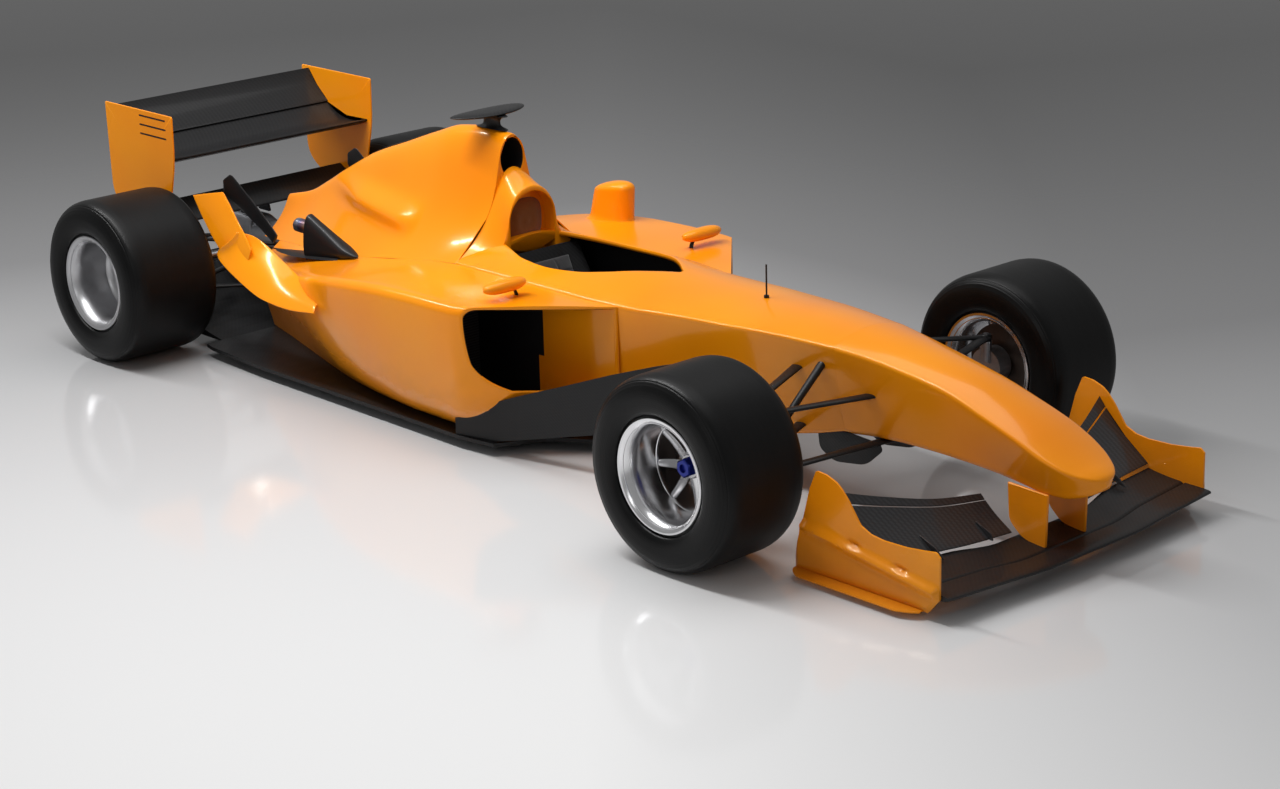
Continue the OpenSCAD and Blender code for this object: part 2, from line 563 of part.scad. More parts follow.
// ---- Rear wing ----
module wing_bar(half, p0, p1, thick, belly) loft([for (s = [-1, 1]) foil(s * half, bx(p0[0]), p0[1],
    bx(p1[0]), p1[1], thick, belly, 12)]);
module rear_wing() color(carbon)
    wing_bar(rear_wing_half, [-1885, rear_wing_z - 176], [-2160, rear_wing_z - 138], 26, 42);
module rear_wing_flap() color(carbon)
    wing_bar(rear_wing_half, [-2166, rear_wing_z - 122], [-2272, rear_wing_z - 8], 14, 12);
module beam_wing() color(carbon) {
    wing_bar(rear_wing_half, [-1935, 452], [-2090, 512], 18, 14);
    pair() plate_xz(40, 8, [[bx(-1990), 402], [bx(-2070), 402], [bx(-2080), 496], [bx(-2010), 470]]);
}
module rear_wing_endplates() color(body) pair()
    plate_xz(rear_wing_half + fit_gap, endplate_t, [[bx(-1855), rear_wing_z], [bx(-1860), rear_wing_z - 190],
        [bx(-1890), rear_wing_z - 300], [bx(-1930), 436], [bx(-2180), 436], [bx(-2310), 520],
        [bx(-2320), rear_wing_z - 4], [bx(-2316), rear_wing_z]]);

// ---- Engine and gearbox ----
engine_front = -400;
engine_rear = -930;
engine_w = 390;
engine_h = 380;
module engine() color(metal) translate([bx(engine_rear), -engine_w / 2, clear_floor])
    cube([bx(engine_front) - bx(engine_rear), engine_w, engine_h]);
jack_r = 12;
module gearbox() color(metal) difference() {
    union() {
        plate_xz(-gearbox_half, 2 * gearbox_half, [[bx(engine_rear) - fit_gap, clear_floor],
            [bx(engine_rear) - fit_gap, 400], [bx(-1500), 372], [bx(-2000), 370], [bx(-2000), 200], [bx(-1850), 150], [bx(-1640), 80],
            [bx(-1600), clear_floor]]);
        plate_xz(-60, 120, [[bx(-1990), 401.7], [bx(-2120), 401.7], [bx(-2240), 370], [bx(-2240), 290],
            [bx(-1990), 250]]);
    }
    translate([bx(-2240) - 1, 0, 330]) rotate([0, 90, 0]) cylinder(h = 41, r = jack_r);
    for (s = [-1, 1]) translate([rear_axle_x, s * gearbox_half, tyre_r]) rotate([s * 90, 0, 0])
        translate([0, 0, -1]) cylinder(h = 12, r = 40);
}

// ---- Suspension ----
kingpin_y = front_wheel_y - front_tyre_w / 2 + 15;
upper_z = tyre_r + 104;
lower_z = tyre_r - 101;
eye_h = 22;
eye_r = 19;
// Columns: height of the outer end, inner front x, y, z, inner rear x, y, z
front_arms = [[upper_z, 1480, 120, 418, 1185, 150, 470], [lower_z, 1500, 60, 262, 1160, 100, 262]];
module front_suspension() color(carbon) pair() difference() {
    union() {
        for (r = front_arms) {
            translate([front_axle_x, kingpin_y, r[0] - eye_h / 2]) cylinder(h = eye_h, r = eye_r);
            for (c = [1, 4]) strut([front_axle_x, kingpin_y, r[0]], [bx(r[c]), r[c + 1], r[c + 2]], 46, 15);
        }
        strut([front_axle_x, kingpin_y - 50, lower_z], [bx(1290), 130, 520], 30, 18);
    }
    for (r = front_arms) translate([front_axle_x, kingpin_y, r[0] - eye_h])
        cylinder(h = 2 * eye_h, r = kingpin_r + running_fit);
    loft([for (row = tub_table) hull_ring(row, -fit_gap)]);
    loft([for (row = nose_table) hull_ring(row, -fit_gap)]);
}
// Front upright with its kingpin ends and the bearing for the stub axle.
front_hub_y = front_wheel_y + front_tyre_w / 2 - front_dish;
module front_upright() {
    difference() {
        union() {
            translate([front_axle_x, kingpin_y, lower_z + eye_h / 2 + 1])
                cylinder(h = upper_z - lower_z - eye_h - 2, r = 20);
            translate([front_axle_x, kingpin_y, tyre_r]) rotate([-90, 0, 0]) cylinder(h = 60, r = 62);
        }
        translate([front_axle_x, kingpin_y - 30, tyre_r]) rotate([-90, 0, 0])
            cylinder(h = 120, r = axle_r + running_fit);
    }
    for (z = [lower_z - eye_h / 2 - 3, upper_z - eye_h / 2 - 2]) translate([front_axle_x, kingpin_y, z])
        cylinder(h = eye_h + 5, r = kingpin_r);
}
module front_upright_left() color(metal) front_upright();
module front_upright_right() color(metal) mirror([0, 1, 0]) front_upright();

rear_upright_y = rear_inner_y - 30;
// Columns: height of the outer end, inner front x, z, inner rear x, z
rear_arms = [[upper_z, -1700, 350, -1960, 350], [lower_z, -1650, 200, -1980, 235]];
module rear_uprights() color(metal) pair() difference() {
    union() {
        translate([rear_axle_x, rear_upright_y, tyre_r]) rotate([-90, 0, 0]) cylinder(h = 70, r = 66);
        translate([rear_axle_x - 26, rear_upright_y, tyre_r - 125]) cube([52, 40, 250]);
    }
    translate([rear_axle_x, rear_upright_y - 1, tyre_r]) rotate([-90, 0, 0])
        cylinder(h = 72, r = axle_r + running_fit);
}
module rear_suspension() color(carbon) pair() difference() {
    for (r = rear_arms, c = [1, 3])
        strut([rear_axle_x + 8 - 4 * c, rear_upright_y + 4, r[0]],
            [bx(r[c]), gearbox_half - 5.7, r[c + 1]], 42, 15);
    translate([rear_axle_x - 90, rear_upright_y - fit_gap, tyre_r - 200]) cube([180, 60, 400]);
    translate([bx(-2100), -100, 20]) cube([bx(-1300) - bx(-2100), 100 + gearbox_half + fit_gap, 500]);
}

// ---- Wheels ----
flange_in = 22.5; // inner face of the rim's flange, in from the tyre's side face
// Tyre outline, one side: radius share from bead to tread and distance in from the side face
tyre_side = [[0, flange_in + fit_gap], [0.16, flange_in + fit_gap], [0.26, 6], [0.42, 0.8],
    [0.55, 0], [0.7, 2.5], [0.82, 9], [0.91, 19], [0.97, 34], [1, 62]];
tyre_inside = [[0, 42], [0.2, 38], [0.45, 14], [0.7, 16], [0.86, 34], [0.925, 66]];
module on_wheel(x, y) translate([x, y, tyre_r]) rotate([-90, 0, 0]) children();
module tyre(x, y, w) {
    function side(table, s) = [for (r = table) [mix(bead_r + 0.4, tyre_r, r[0]), s * (w / 2 - r[1])]];
    function back(list) = [for (i = [len(list) - 1 : -1 : 0]) list[i]];
    on_wheel(x, y) rotate_extrude() polygon(concat(side(tyre_side, 1), back(side(tyre_side, -1)),
        side(tyre_inside, -1), back(side(tyre_inside, 1))));
}
module barrel(w) rotate_extrude() polygon([[bead_r + 20, w / 2 - 15], [bead_r + 20, w / 2 - flange_in],
    [bead_r, w / 2 - flange_in],
    [bead_r, w / 2 - 50], [bead_r - 10, w / 2 - 70], [bead_r - 10, 70 - w / 2], [bead_r, 50 - w / 2],
    [bead_r, flange_in - w / 2], [bead_r + 20, flange_in - w / 2], [bead_r + 20, 15 - w / 2],
    [bead_r + 12, 15 - w / 2],
    [bead_r - 8, 30 - w / 2], [bead_r - 17, 72 - w / 2], [bead_r - 17, w / 2 - 72], [bead_r - 8, w / 2 - 30],
    [bead_r + 12, w / 2 - 15]]);
// Spoked front wheel: barrel, spokes, hub with its nut, stub axle and brake disc.
module front_rim() {
    face = front_tyre_w / 2 - front_dish;
    hub_in = -front_tyre_w / 2 + 15 + 60 + 12;
    on_wheel(front_axle_x, front_wheel_y) {
        barrel(front_tyre_w);
        for (i = [0 : spokes - 1]) rotate([0, 0, 360 / spokes * i])
            translate([30, -11, face - 22]) cube([bead_r - 15 - 30, 22, 22]);
        translate([0, 0, hub_in]) cylinder(h = face - hub_in + 4, r = 42);
        translate([0, 0, face]) cylinder(h = 34, r1 = 30, r2 = 24);
        translate([0, 0, hub_in + 4]) cylinder(h = 20, r = 130);
        translate([0, 0, hub_in - 72]) cylinder(h = 80, r = axle_r);
    }
}
// Dished rear wheel: barrel, plain disc, hub with its nut, and stub axle.
module rear_rim() {
    face = rear_tyre_w / 2 - rear_dish;
    upright_out = rear_upright_y + 70 - rear_wheel_y;
    on_wheel(rear_axle_x, rear_wheel_y) {
        barrel(rear_tyre_w);
        translate([0, 0, face - 10]) difference() {
            cylinder(h = 10, r = bead_r - 15);
            for (i = [0 : 4]) rotate([0, 0, 72 * i]) translate([92, 0, -1]) cylinder(h = 12, r = 11);
        }
        translate([0, 0, upright_out + 8]) cylinder(h = face - upright_out - 8, r = 44);
        translate([0, 0, face - 1]) cylinder(h = 30, r1 = 30, r2 = 24);
        translate([0, 0, upright_out - 78]) cylinder(h = 90, r = axle_r);
    }
}
module front_tyre_left() color(rubber) tyre(front_axle_x, front_wheel_y, front_tyre_w);
module front_tyre_right() color(rubber) mirror([0, 1, 0]) tyre(front_axle_x, front_wheel_y, front_tyre_w);
module rear_tyre_left() color(rubber) tyre(rear_axle_x, rear_wheel_y, rear_tyre_w);
module rear_tyre_right() color(rubber) mirror([0, 1, 0]) tyre(rear_axle_x, rear_wheel_y, rear_tyre_w);
module front_rim_left() color(metal) front_rim();
module front_rim_right() color(metal) mirror([0, 1, 0]) front_rim();
module rear_rim_left() color(metal) rear_rim();
module rear_rim_right() color(metal) mirror([0, 1, 0]) rear_rim();
// Driveshaft between the gearbox and the stub axle; it turns with its wheel.
module driveshaft() {
    inner = gearbox_half - 5;
    outer = rear_upright_y - 8;
    translate([rear_axle_x, inner, tyre_r]) rotate([-90, 0, 0]) {
        cylinder(h = outer - inner - fit_gap, r = 16);
        translate([0, 0, 16]) cylinder(h = 60, r = 34);
        translate([0, 0, outer - inner - 70]) cylinder(h = 60, r = 30);
    }
}
module driveshaft_left() color(metal) driveshaft();
module driveshaft_right() color(metal) mirror([0, 1, 0]) driveshaft();

monocoque();
nose_cone();
antenna();
dash_bulkhead();
steering_wheel();
seat();
head_fairing();
headrest();
engine_cover();
camera_wing();
sidepod_left();
sidepod_right();
radiators();
cooling_chimney();
mirrors();
exhausts();
flip_ups();
floor_plate();
diffuser();
bargeboards();
front_wing();
front_wing_flaps();
front_wing_endplates();
nose_pylons();
rear_wing();
rear_wing_flap();
beam_wing();
rear_wing_endplates();
engine();
gearbox();
front_suspension();
front_upright_left();
front_upright_right();
rear_uprights();
rear_suspension();
front_tyre_left();
front_tyre_right();
rear_tyre_left();
rear_tyre_right();
front_rim_left();
front_rim_right();
rear_rim_left();
rear_rim_right();
driveshaft_left();
driveshaft_right();
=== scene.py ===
import math
import bpy
import bmesh
import numpy as np
from mathutils import Matrix, Vector


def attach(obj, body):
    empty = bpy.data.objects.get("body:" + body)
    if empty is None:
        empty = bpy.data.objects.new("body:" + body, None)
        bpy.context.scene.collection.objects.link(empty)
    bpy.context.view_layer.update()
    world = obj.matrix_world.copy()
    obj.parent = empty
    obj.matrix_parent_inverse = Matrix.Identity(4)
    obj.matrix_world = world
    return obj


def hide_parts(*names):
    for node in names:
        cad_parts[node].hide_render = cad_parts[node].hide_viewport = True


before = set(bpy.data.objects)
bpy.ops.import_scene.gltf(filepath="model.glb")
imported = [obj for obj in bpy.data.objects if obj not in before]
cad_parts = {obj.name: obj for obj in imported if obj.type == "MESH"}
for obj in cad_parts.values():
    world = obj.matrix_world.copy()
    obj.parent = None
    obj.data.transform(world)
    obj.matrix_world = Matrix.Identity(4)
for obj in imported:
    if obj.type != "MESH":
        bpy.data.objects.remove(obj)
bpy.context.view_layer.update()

mm = 0.001
axleFront = 1.33
axleRear = -1.87
axleHeight = 0.316


def srgb(r, g, b):
    # linear = ((c / 255 + 0.055) / 1.055) ^ 2.4, or c / 255 / 12.92 in the darks
    c = np.array([r, g, b]) / 255
    lin = np.where(c > 0.04045, ((c + 0.055) / 1.055) ** 2.4, c / 12.92)
    return tuple(float(c) for c in lin) + (1.0,)


def darker(colour, share):
    return tuple(c * share for c in colour[:3]) + (1.0,)


view = {
    "place": (7.27625, -6.45734, 3.20542),
    "yaw": 47.414, "pitch": 17.909, "roll": -1.4535,  # degrees
    "lens": 79.73, "sensor": 36.0,
}


def addCamera():
    # direction d = (-sin yaw cos pitch, cos yaw cos pitch, -sin pitch); side r = (cos yaw, sin yaw, 0);
    # up u = r x d; both are then turned by the roll
    yaw, pitch, roll = (math.radians(view[k]) for k in ("yaw", "pitch", "roll"))
    d = Vector((-math.sin(yaw) * math.cos(pitch), math.cos(yaw) * math.cos(pitch), -math.sin(pitch)))
    r = Vector((math.cos(yaw), math.sin(yaw), 0))
    u = r.cross(d)
    side = math.cos(roll) * r + math.sin(roll) * u
    up = -math.sin(roll) * r + math.cos(roll) * u
    data = bpy.data.cameras.new("camera")
    data.lens, data.sensor_width = view["lens"], view["sensor"]
    data.clip_end = 200
    cam = bpy.data.objects.new("camera", data)
    facing = Matrix((side, up, -d)).transposed().to_4x4()
    cam.matrix_world = Matrix.Translation(view["place"]) @ facing
    bpy.context.scene.collection.objects.link(cam)
    bpy.context.scene.camera = cam


addCamera()
print("camera placed")


class Val:
    # A socket that Python's operators work on: each one adds a Math node.
    def __init__(self, shader, socket):
        self.shader, self.socket = shader, socket

    def math(self, operation, *others, clamp=False):
        return self.shader.node("ShaderNodeMath", {"operation": operation, "use_clamp": clamp},
                                [self, *others])

    def __add__(self, other):
        return self.math("ADD", other)

    def __radd__(self, other):
        return self.math("ADD", other)

    def __sub__(self, other):
        return self.math("SUBTRACT", other)

    def __rsub__(self, other):
        return self.shader.node("ShaderNodeMath", {"operation": "SUBTRACT"}, [other, self])

    def __mul__(self, other):
        return self.math("MULTIPLY", other)

    def __truediv__(self, other):
        return self.math("DIVIDE", other)

    def __lt__(self, other):
        return self.math("LESS_THAN", other)

    def clip(self):
        return self.math("ADD", 0.0, clamp=True)


class Shader:
    # A material whose nodes are added by one method.
    def __init__(self, name, **fixed):
        self.material = bpy.data.materials.new(name)
        self.material.use_nodes = True
        self.tree = self.material.node_tree
        self.surface = self.tree.nodes["Principled BSDF"]
        for key, value in fixed.items():
            self.surface.inputs[key.replace("_", " ")].default_value = value

    def node(self, kind, settings=None, inputs=(), output=0):
        # settings go first, then inputs by number or by name; a "stops" setting fills a ramp
        made = self.tree.nodes.new(kind)
        for key, value in (settings or {}).items():
            if key == "stops":
                ramp = made.color_ramp
                while len(ramp.elements) < len(value):
                    ramp.elements.new(0.5)
                for element, (place, colour) in zip(ramp.elements, value):
                    element.position, element.color = place, colour
            else:
                setattr(made, key, value)
        pairs = inputs.items() if isinstance(inputs, dict) else enumerate(inputs)
        for key, value in pairs:
            if isinstance(value, Val):
                self.tree.links.new(value.socket, made.inputs[key])
            elif value is not None:
                made.inputs[key].default_value = value
        return Val(self, made.outputs[output])

    def feed(self, **links):
        for key, value in links.items():
            self.tree.links.new(value.socket, self.surface.inputs[key.replace("_", " ")])

    def place(self):
        return self.node("ShaderNodeTexCoord", output="Object")

    def xyz(self):
        at = self.place()
        parts = self.node("ShaderNodeSeparateXYZ", inputs=[at])
        return [Val(self, parts.socket.node.outputs[i]) for i in range(3)]

    def noise(self, scale, detail=3.0, rough=0.55, at=None, stretch=None):
        at = at or self.place()
        if stretch:
            at = self.node("ShaderNodeVectorMath", {"operation": "MULTIPLY"}, [at, stretch])
        return self.node("ShaderNodeTexNoise", inputs={"Vector": at, "Scale": scale, "Detail": detail,
                                                       "Roughness": rough})

    def blendColour(self, factor, a, b):
        made = self.tree.nodes.new("ShaderNodeMix")
        made.data_type = "RGBA"
        for socket, value in zip((made.inputs[0], made.inputs[6], made.inputs[7]), (factor, a, b)):
            if isinstance(value, Val):
                self.tree.links.new(value.socket, socket)
            else:
                socket.default_value = value
        return Val(self, made.outputs[2])

    def ramp(self, factor, *stops):
        return self.node("ShaderNodeValToRGB", {"stops": stops}, [factor])

    def bump(self, height, strength, distance):
        return self.node("ShaderNodeBump", inputs={"Height": height, "Strength": strength,
                                                   "Distance": distance})


paint = {"orange": srgb(253, 157, 12), "deep": srgb(244, 134, 6), "dust": srgb(150, 96, 40)}


def paintMaterial():
    # gloss paint: a slow change of tone, an orange-peel ripple, and a little road film low down
    s = Shader("bodyPaint", Metallic=0.0, Coat_Weight=0.28, Coat_Roughness=0.06, IOR=1.45,
               Specular_IOR_Level=0.45, Specular_Tint=(1.0, 0.8, 0.35, 1.0))
    _, _, z = s.xyz()
    tone = s.noise(1.6, 2.0)
    colour = s.blendColour((tone * 1.6 - 0.4).clip(), paint["orange"], paint["deep"])
    film = ((0.24 - z) * 5.0 + (s.noise(9.0, 5.0) - 0.5)).clip() * 0.35
    colour = s.blendColour(film, colour, paint["dust"])
    fine = s.noise(420.0, 2.0)
    ripple = s.noise(90.0, 1.0)
    s.feed(Base_Color=colour, Roughness=0.20 + fine * 0.05 + film * 0.4,
           Normal=s.bump(ripple + fine * 0.2, 0.05, 0.0006))
    return s.material


towWidth = 0.0045  # one carbon tow
slant = 0.71  # how far the weave shifts with height, so that it shows on upright faces too


def carbonMaterial(name="carbonWeave", light=0.0105, dark=0.0045, gloss=0.36, coat=0.16):
    # twill: each tow passes over two and under two, stepping by one a row
    s = Shader(name, Metallic=0.0, Coat_Weight=coat, Coat_Roughness=0.12, IOR=1.5, Specular_IOR_Level=0.2)
    x, y, z = s.xyz()
    u = (x + z * slant) / towWidth
    v = (y + z * slant) / towWidth
    step = (u.math("FLOOR") + v.math("FLOOR")).math("FLOORED_MODULO", 4.0)
    over = step < 1.5
    crown = (u * math.pi).math("SINE").math("ABSOLUTE") * over \
        + (v * math.pi).math("SINE").math("ABSOLUTE") * (1 - over)
    tone = s.noise(3.0, 3.0)
    shade = light - dark
    grey = dark + over * shade * 0.7 + crown * shade * 0.3 + tone * dark * 0.6
    colour = s.node("ShaderNodeCombineColor", inputs=[grey, grey, grey * 1.06])
    s.feed(Base_Color=colour, Roughness=gloss + s.noise(14.0, 4.0) * 0.16,
           Normal=s.bump(crown, 0.12, 0.0005))
    return s.material


def fromAxle(x, z, axleX):
    # distance from the wheel's axle: sqrt(dx^2 + dz^2)
    dx, dz = x - axleX, z - axleHeight
    return (dx * dx + dz * dz).math("SQRT")


def rubberMaterial(axleX):
    # tyre rubber: moulding rings on the sidewalls and drag marks round the tread
    s = Shader("tyreRubber" + ("Front" if axleX > 0 else "Rear"), Metallic=0.0, IOR=1.5,
               Specular_IOR_Level=0.17)
    x, _, z = s.xyz()
    r = fromAxle(x, z, axleX)
    tread = ((r - 0.306) * 160.0).clip()
    rings = (r * 900.0).math("SINE") * (1 - tread)
    drag = s.noise(60.0, 4.0, stretch=(0.15, 1.0, 0.15))
    pebble = s.noise(260.0, 3.0)
    scuff = (s.noise(5.0, 6.0, 0.7) * 2.2 - 0.9).clip()
    grey = 0.0022 + scuff * 0.003 + tread * drag * 0.003
    colour = s.node("ShaderNodeCombineColor", inputs=[grey, grey, grey * 1.03])
    s.feed(Base_Color=colour, Roughness=0.30 + tread * 0.12 + scuff * 0.10 + pebble * 0.05,
           Normal=s.bump(rings * 0.35 + pebble * 0.8 + drag * tread, 0.22, 0.0008))
    return s.material


def wheelMetal(name, axleX, base, rough, metallic=1.0):
    # turned metal: fine rings round the axle, brake dust gathering towards the hub
    s = Shader(name, Metallic=metallic, IOR=1.5)
    x, _, z = s.xyz()
    r = fromAxle(x, z, axleX)
    turned = s.noise(1.0, 2.0, at=s.node("ShaderNodeCombineXYZ", inputs=[r * 900.0, 0.0, 0.0]))
    dust = ((0.15 - r) * 4.0 + (s.noise(30.0, 4.0) - 0.55)).clip() * 0.5
    colour = s.blendColour(dust, base, srgb(96, 82, 70))
    s.feed(Base_Color=colour, Roughness=rough + turned * 0.10 + dust * 0.3,
           Normal=s.bump(turned, 0.06, 0.0003))
    return s.material


def castMaterial(name, base, rough=0.45, grain=240.0, metallic=1.0):
    # sand-cast or machined alloy with a light grime
    s = Shader(name, Metallic=metallic, IOR=1.5)
    fine = s.noise(grain, 3.0)
    grime = (s.noise(11.0, 5.0, 0.65) * 2.0 - 0.8).clip()
    colour = s.blendColour(grime * 0.6, base, darker(base, 0.35))
    s.feed(Base_Color=colour, Roughness=rough + grime * 0.2 + fine * 0.08,
           Normal=s.bump(fine, 0.25, 0.0007))
    return s.material


def heatMaterial():
    # exhaust steel: straw, violet and blue bands towards the hot end
    s = Shader("heatedSteel", Metallic=1.0, IOR=1.5)
    x, _, _ = s.xyz()
    hot = ((-1.17 - x) * 8.0 + (s.noise(40.0, 3.0) - 0.5) * 0.5).clip()
    colour = s.ramp(hot, (0.0, srgb(190, 188, 184)), (0.35, srgb(206, 178, 130)), (0.6, srgb(150, 120, 140)),
                    (0.8, srgb(120, 130, 165)), (1.0, srgb(228, 226, 222)))
    s.feed(Base_Color=colour, Roughness=0.24 + s.noise(120.0, 3.0) * 0.14)
    return s.material


def clothMaterial(name, base, weave=0.0016):
    # plain weave: sine threads both ways, with a soft nap
    s = Shader(name, Metallic=0.0, Sheen_Weight=0.35, Sheen_Roughness=0.5)
    x, y, z = s.xyz()
    u, v = (y + x * 0.3) * (2 * math.pi / weave), (z + x * 0.7) * (2 * math.pi / weave)
    thread = u.math("SINE") * v.math("SINE") * 0.5 + 0.5
    nap = s.noise(70.0, 4.0)
    colour = s.blendColour((thread * 0.4 + nap * 0.5).clip(), base, darker(base, 0.55))
    s.feed(Base_Color=colour, Roughness=0.78 + nap * 0.15, Normal=s.bump(thread + nap, 0.3, 0.0006))
    return s.material


def finMaterial():
    # radiator core: tubes across and louvred fins between them
    s = Shader("radiatorCore", Metallic=0.7, IOR=1.5)
    _, y, z = s.xyz()
    tube = (z * (2 * math.pi / 0.010)).math("SINE")
    fin = (y * (2 * math.pi / 0.0025)).math("SINE")
    gap = ((tube * 0.5 + 0.5) * 0.6 + (fin * 0.5 + 0.5) * 0.4).clip()
    colour = s.blendColour(gap, srgb(24, 25, 27), srgb(96, 98, 102))
    s.feed(Base_Color=colour, Roughness=0.5 + gap * 0.2, Normal=s.bump(gap, 0.5, 0.001))
    return s.material


def glossMaterial(name, base, rough, metallic=0.0, coat=0.0):
    # smooth coloured part with faint handling marks
    s = Shader(name, Metallic=metallic, Coat_Weight=coat, IOR=1.5)
    marks = s.noise(26.0, 5.0, 0.7)
    colour = s.blendColour((marks * 0.8).clip(), base, darker(base, 0.72))
    s.feed(Base_Color=colour, Roughness=rough + marks * 0.10)
    return s.material


orange = paintMaterial()
carbon = carbonMaterial()
innerCarbon = carbonMaterial("insideCarbon", 0.012, 0.005, 0.5, 0.1)
flapCarbon = carbonMaterial("flapCarbon", 0.030, 0.014, 0.30, 0.4)
frontRubber = rubberMaterial(axleFront)
rearRubber = rubberMaterial(axleRear)
frontAlloy = wheelMetal("polishedAlloy", axleFront, srgb(222, 222, 224), 0.16)
rearAlloy = wheelMetal("satinAlloy", axleRear, srgb(196, 196, 198), 0.30)
castAlloy = castMaterial("castAlloy", srgb(150, 152, 156))
steel = castMaterial("machinedSteel", srgb(170, 172, 176), 0.30, 500.0)
discMaterial = castMaterial("brakeDisc", srgb(70, 60, 54), 0.42, 700.0, 0.6)
nutBlue = glossMaterial("nutBlue", srgb(24, 44, 150), 0.25, 0.7, 0.3)
hotSteel = heatMaterial()
# headrest cloth: the body orange darkened, painted shade for the pad deep in the fairing's mouth
padClothPaintedShade = clothMaterial("headrestClothPaintedShade", srgb(150, 84, 14))
seatCloth = clothMaterial("seatCloth", srgb(30, 30, 33))
radiatorFins = finMaterial()
mirrorGlass = glossMaterial("mirrorGlass", srgb(200, 206, 214), 0.04, 1.0)
lampRed = glossMaterial("lampRed", srgb(110, 8, 8), 0.15, 0.0, 1.0)
screenBlack = glossMaterial("screenBlack", srgb(10, 14, 16), 0.08, 0.0, 1.0)
gripRubber = castMaterial("gripRubber", srgb(26, 26, 28), 0.6, 320.0, 0.0)
buttonRed = glossMaterial("buttonRed", srgb(180, 20, 16), 0.35)
buttonBlue = glossMaterial("buttonBlue", srgb(20, 70, 170), 0.35)
print("materials made")


def monotone(xs, ys, x):
    # monotone cubic: Hermite pieces whose slopes are the harmonic mean of the neighbours', 0 at a turn
    xs, ys, x = np.asarray(xs, float), np.asarray(ys, float), np.asarray(x, float)
    if ys.ndim == 1:
        ys = ys[:, None]
    h = np.diff(xs)[:, None]
    d = np.diff(ys, axis=0) / h
    same = (d[:-1] * d[1:]) > 0
    w1, w2 = 2 * h[1:] + h[:-1], h[1:] + 2 * h[:-1]
    safe = np.where(same, d[:-1], 1.0), np.where(same, d[1:], 1.0)
    inner = np.where(same, (w1 + w2) / (w1 / safe[0] + w2 / safe[1]), 0.0)
    m = np.vstack([d[:1], inner, d[-1:]])
    i = np.clip(np.searchsorted(xs, x, side="right") - 1, 0, len(xs) - 2)
    t = np.clip((x - xs[i]) / h[i, 0], 0, 1)[:, None]
    a, b, ma, mb, hh = ys[i], ys[i + 1], m[i], m[i + 1], h[i]
    out = a * (1 + 2 * t) * (1 - t) ** 2 + b * t * t * (3 - 2 * t) \
        + hh * (ma * t * (1 - t) ** 2 - mb * t * t * (1 - t))
    return out.T  # one array for each column


def along(table, x):
    # the table's columns at places x, where its first column is the place
    return monotone([row[0] for row in table], [row[1:] for row in table], x)


def xyz(x, y, z):
    # points[u, v, 3] in metres from three arrays in millimetres
    return np.stack(np.broadcast_arrays(x, y, z), -1) * mm


def turn(steps):
    # angles of one whole turn, as a row
    return np.linspace(0, 2 * np.pi, steps, endpoint=False)[None]


def rounded(a, power):
    # radius of the superellipse |cos a|^p + |sin a|^p = 1
    return (np.abs(np.cos(a)) ** power + np.abs(np.sin(a)) ** power) ** (-1 / power)


def gridFaces(nu, nv, wrapU=False, wrapV=False):
    # quads (i, j), (i+1, j), (i+1, j+1), (i, j+1) over the whole grid at once
    i = np.arange(nu if wrapU else nu - 1)[:, None]
    j = np.arange(nv if wrapV else nv - 1)[None, :]
    i2, j2 = (i + 1) % nu, (j + 1) % nv
    return np.stack(np.broadcast_arrays(i * nv + j, i2 * nv + j, i2 * nv + j2, i * nv + j2), -1).reshape(-1, 4)


def meshPiece(name, parts, body, slot, materials, sharp=38, replaces=(), solid=None, bevel=None):
    # parts: (points, quads, material number); equal points are joined and empty faces dropped
    count, allPoints, allFaces, allMats = 0, [], [], []
    for points, quads, mat in parts:
        points = np.asarray(points, float).reshape(-1, 3)
        allPoints.append(points)
        allFaces.append(quads + count)
        allMats.append(np.broadcast_to(np.asarray(mat), (len(quads),)))
        count += len(points)
    points = np.vstack(allPoints)
    quads, mats = np.vstack(allFaces), np.concatenate(allMats)
    keys, back = np.unique(np.round(points, 6), axis=0, return_inverse=True)
    quads = back.reshape(-1)[quads]
    repeats = (np.diff(np.sort(quads, axis=1), axis=1) == 0).sum(1)
    doubled = quads == np.roll(quads, 1, axis=1)
    whole = repeats == 0
    three = (repeats == 1) & (doubled.sum(1) == 1)
    triangles = quads[three][~doubled[three]].reshape(-1, 3)
    mesh = bpy.data.meshes.new(name)
    mesh.from_pydata(keys.tolist(), [], quads[whole].tolist() + triangles.tolist())
    mesh.polygons.foreach_set("material_index", np.concatenate([mats[whole], mats[three]]))
    for m in materials:
        mesh.materials.append(m)
    work = bmesh.new()
    work.from_mesh(mesh)
    bmesh.ops.recalc_face_normals(work, faces=work.faces)
    work.to_mesh(mesh)
    work.free()
    mesh.polygons.foreach_set("use_smooth", [True] * len(mesh.polygons))
    mesh.set_sharp_from_angle(angle=math.radians(sharp))
    piece = bpy.data.objects.new(name, mesh)
    bpy.context.scene.collection.objects.link(piece)
    if solid:
        wall = piece.modifiers.new("wall", "SOLIDIFY")
        wall.thickness, wall.offset = solid[0], -1
        wall.material_offset = solid[1]
        wall.use_even_offset = True
    if bevel:
        edge = piece.modifiers.new("edge", "BEVEL")
        edge.width, edge.segments, edge.limit_method = bevel, 2, "ANGLE"
        edge.angle_limit = math.radians(40)
    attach(piece, body)
    if replaces:
        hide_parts(*replaces)
    return piece


def mirrored(parts):
    # the same surfaces on the other side: y -> -y
    return [(np.asarray(p) * np.array([1, -1, 1]), q, m) for p, q, m in parts]


def bothSides(name, parts, slot, materials, replaces, **more):
    # one piece on the left and its mirror image on the right
    for side, sideParts in (("Left", parts), ("Right", mirrored(parts))):
        nodes = [node.format(side=side.lower()) for node in replaces]
        meshPiece(name + side, sideParts, "chassis", slot, materials, replaces=nodes, **more)


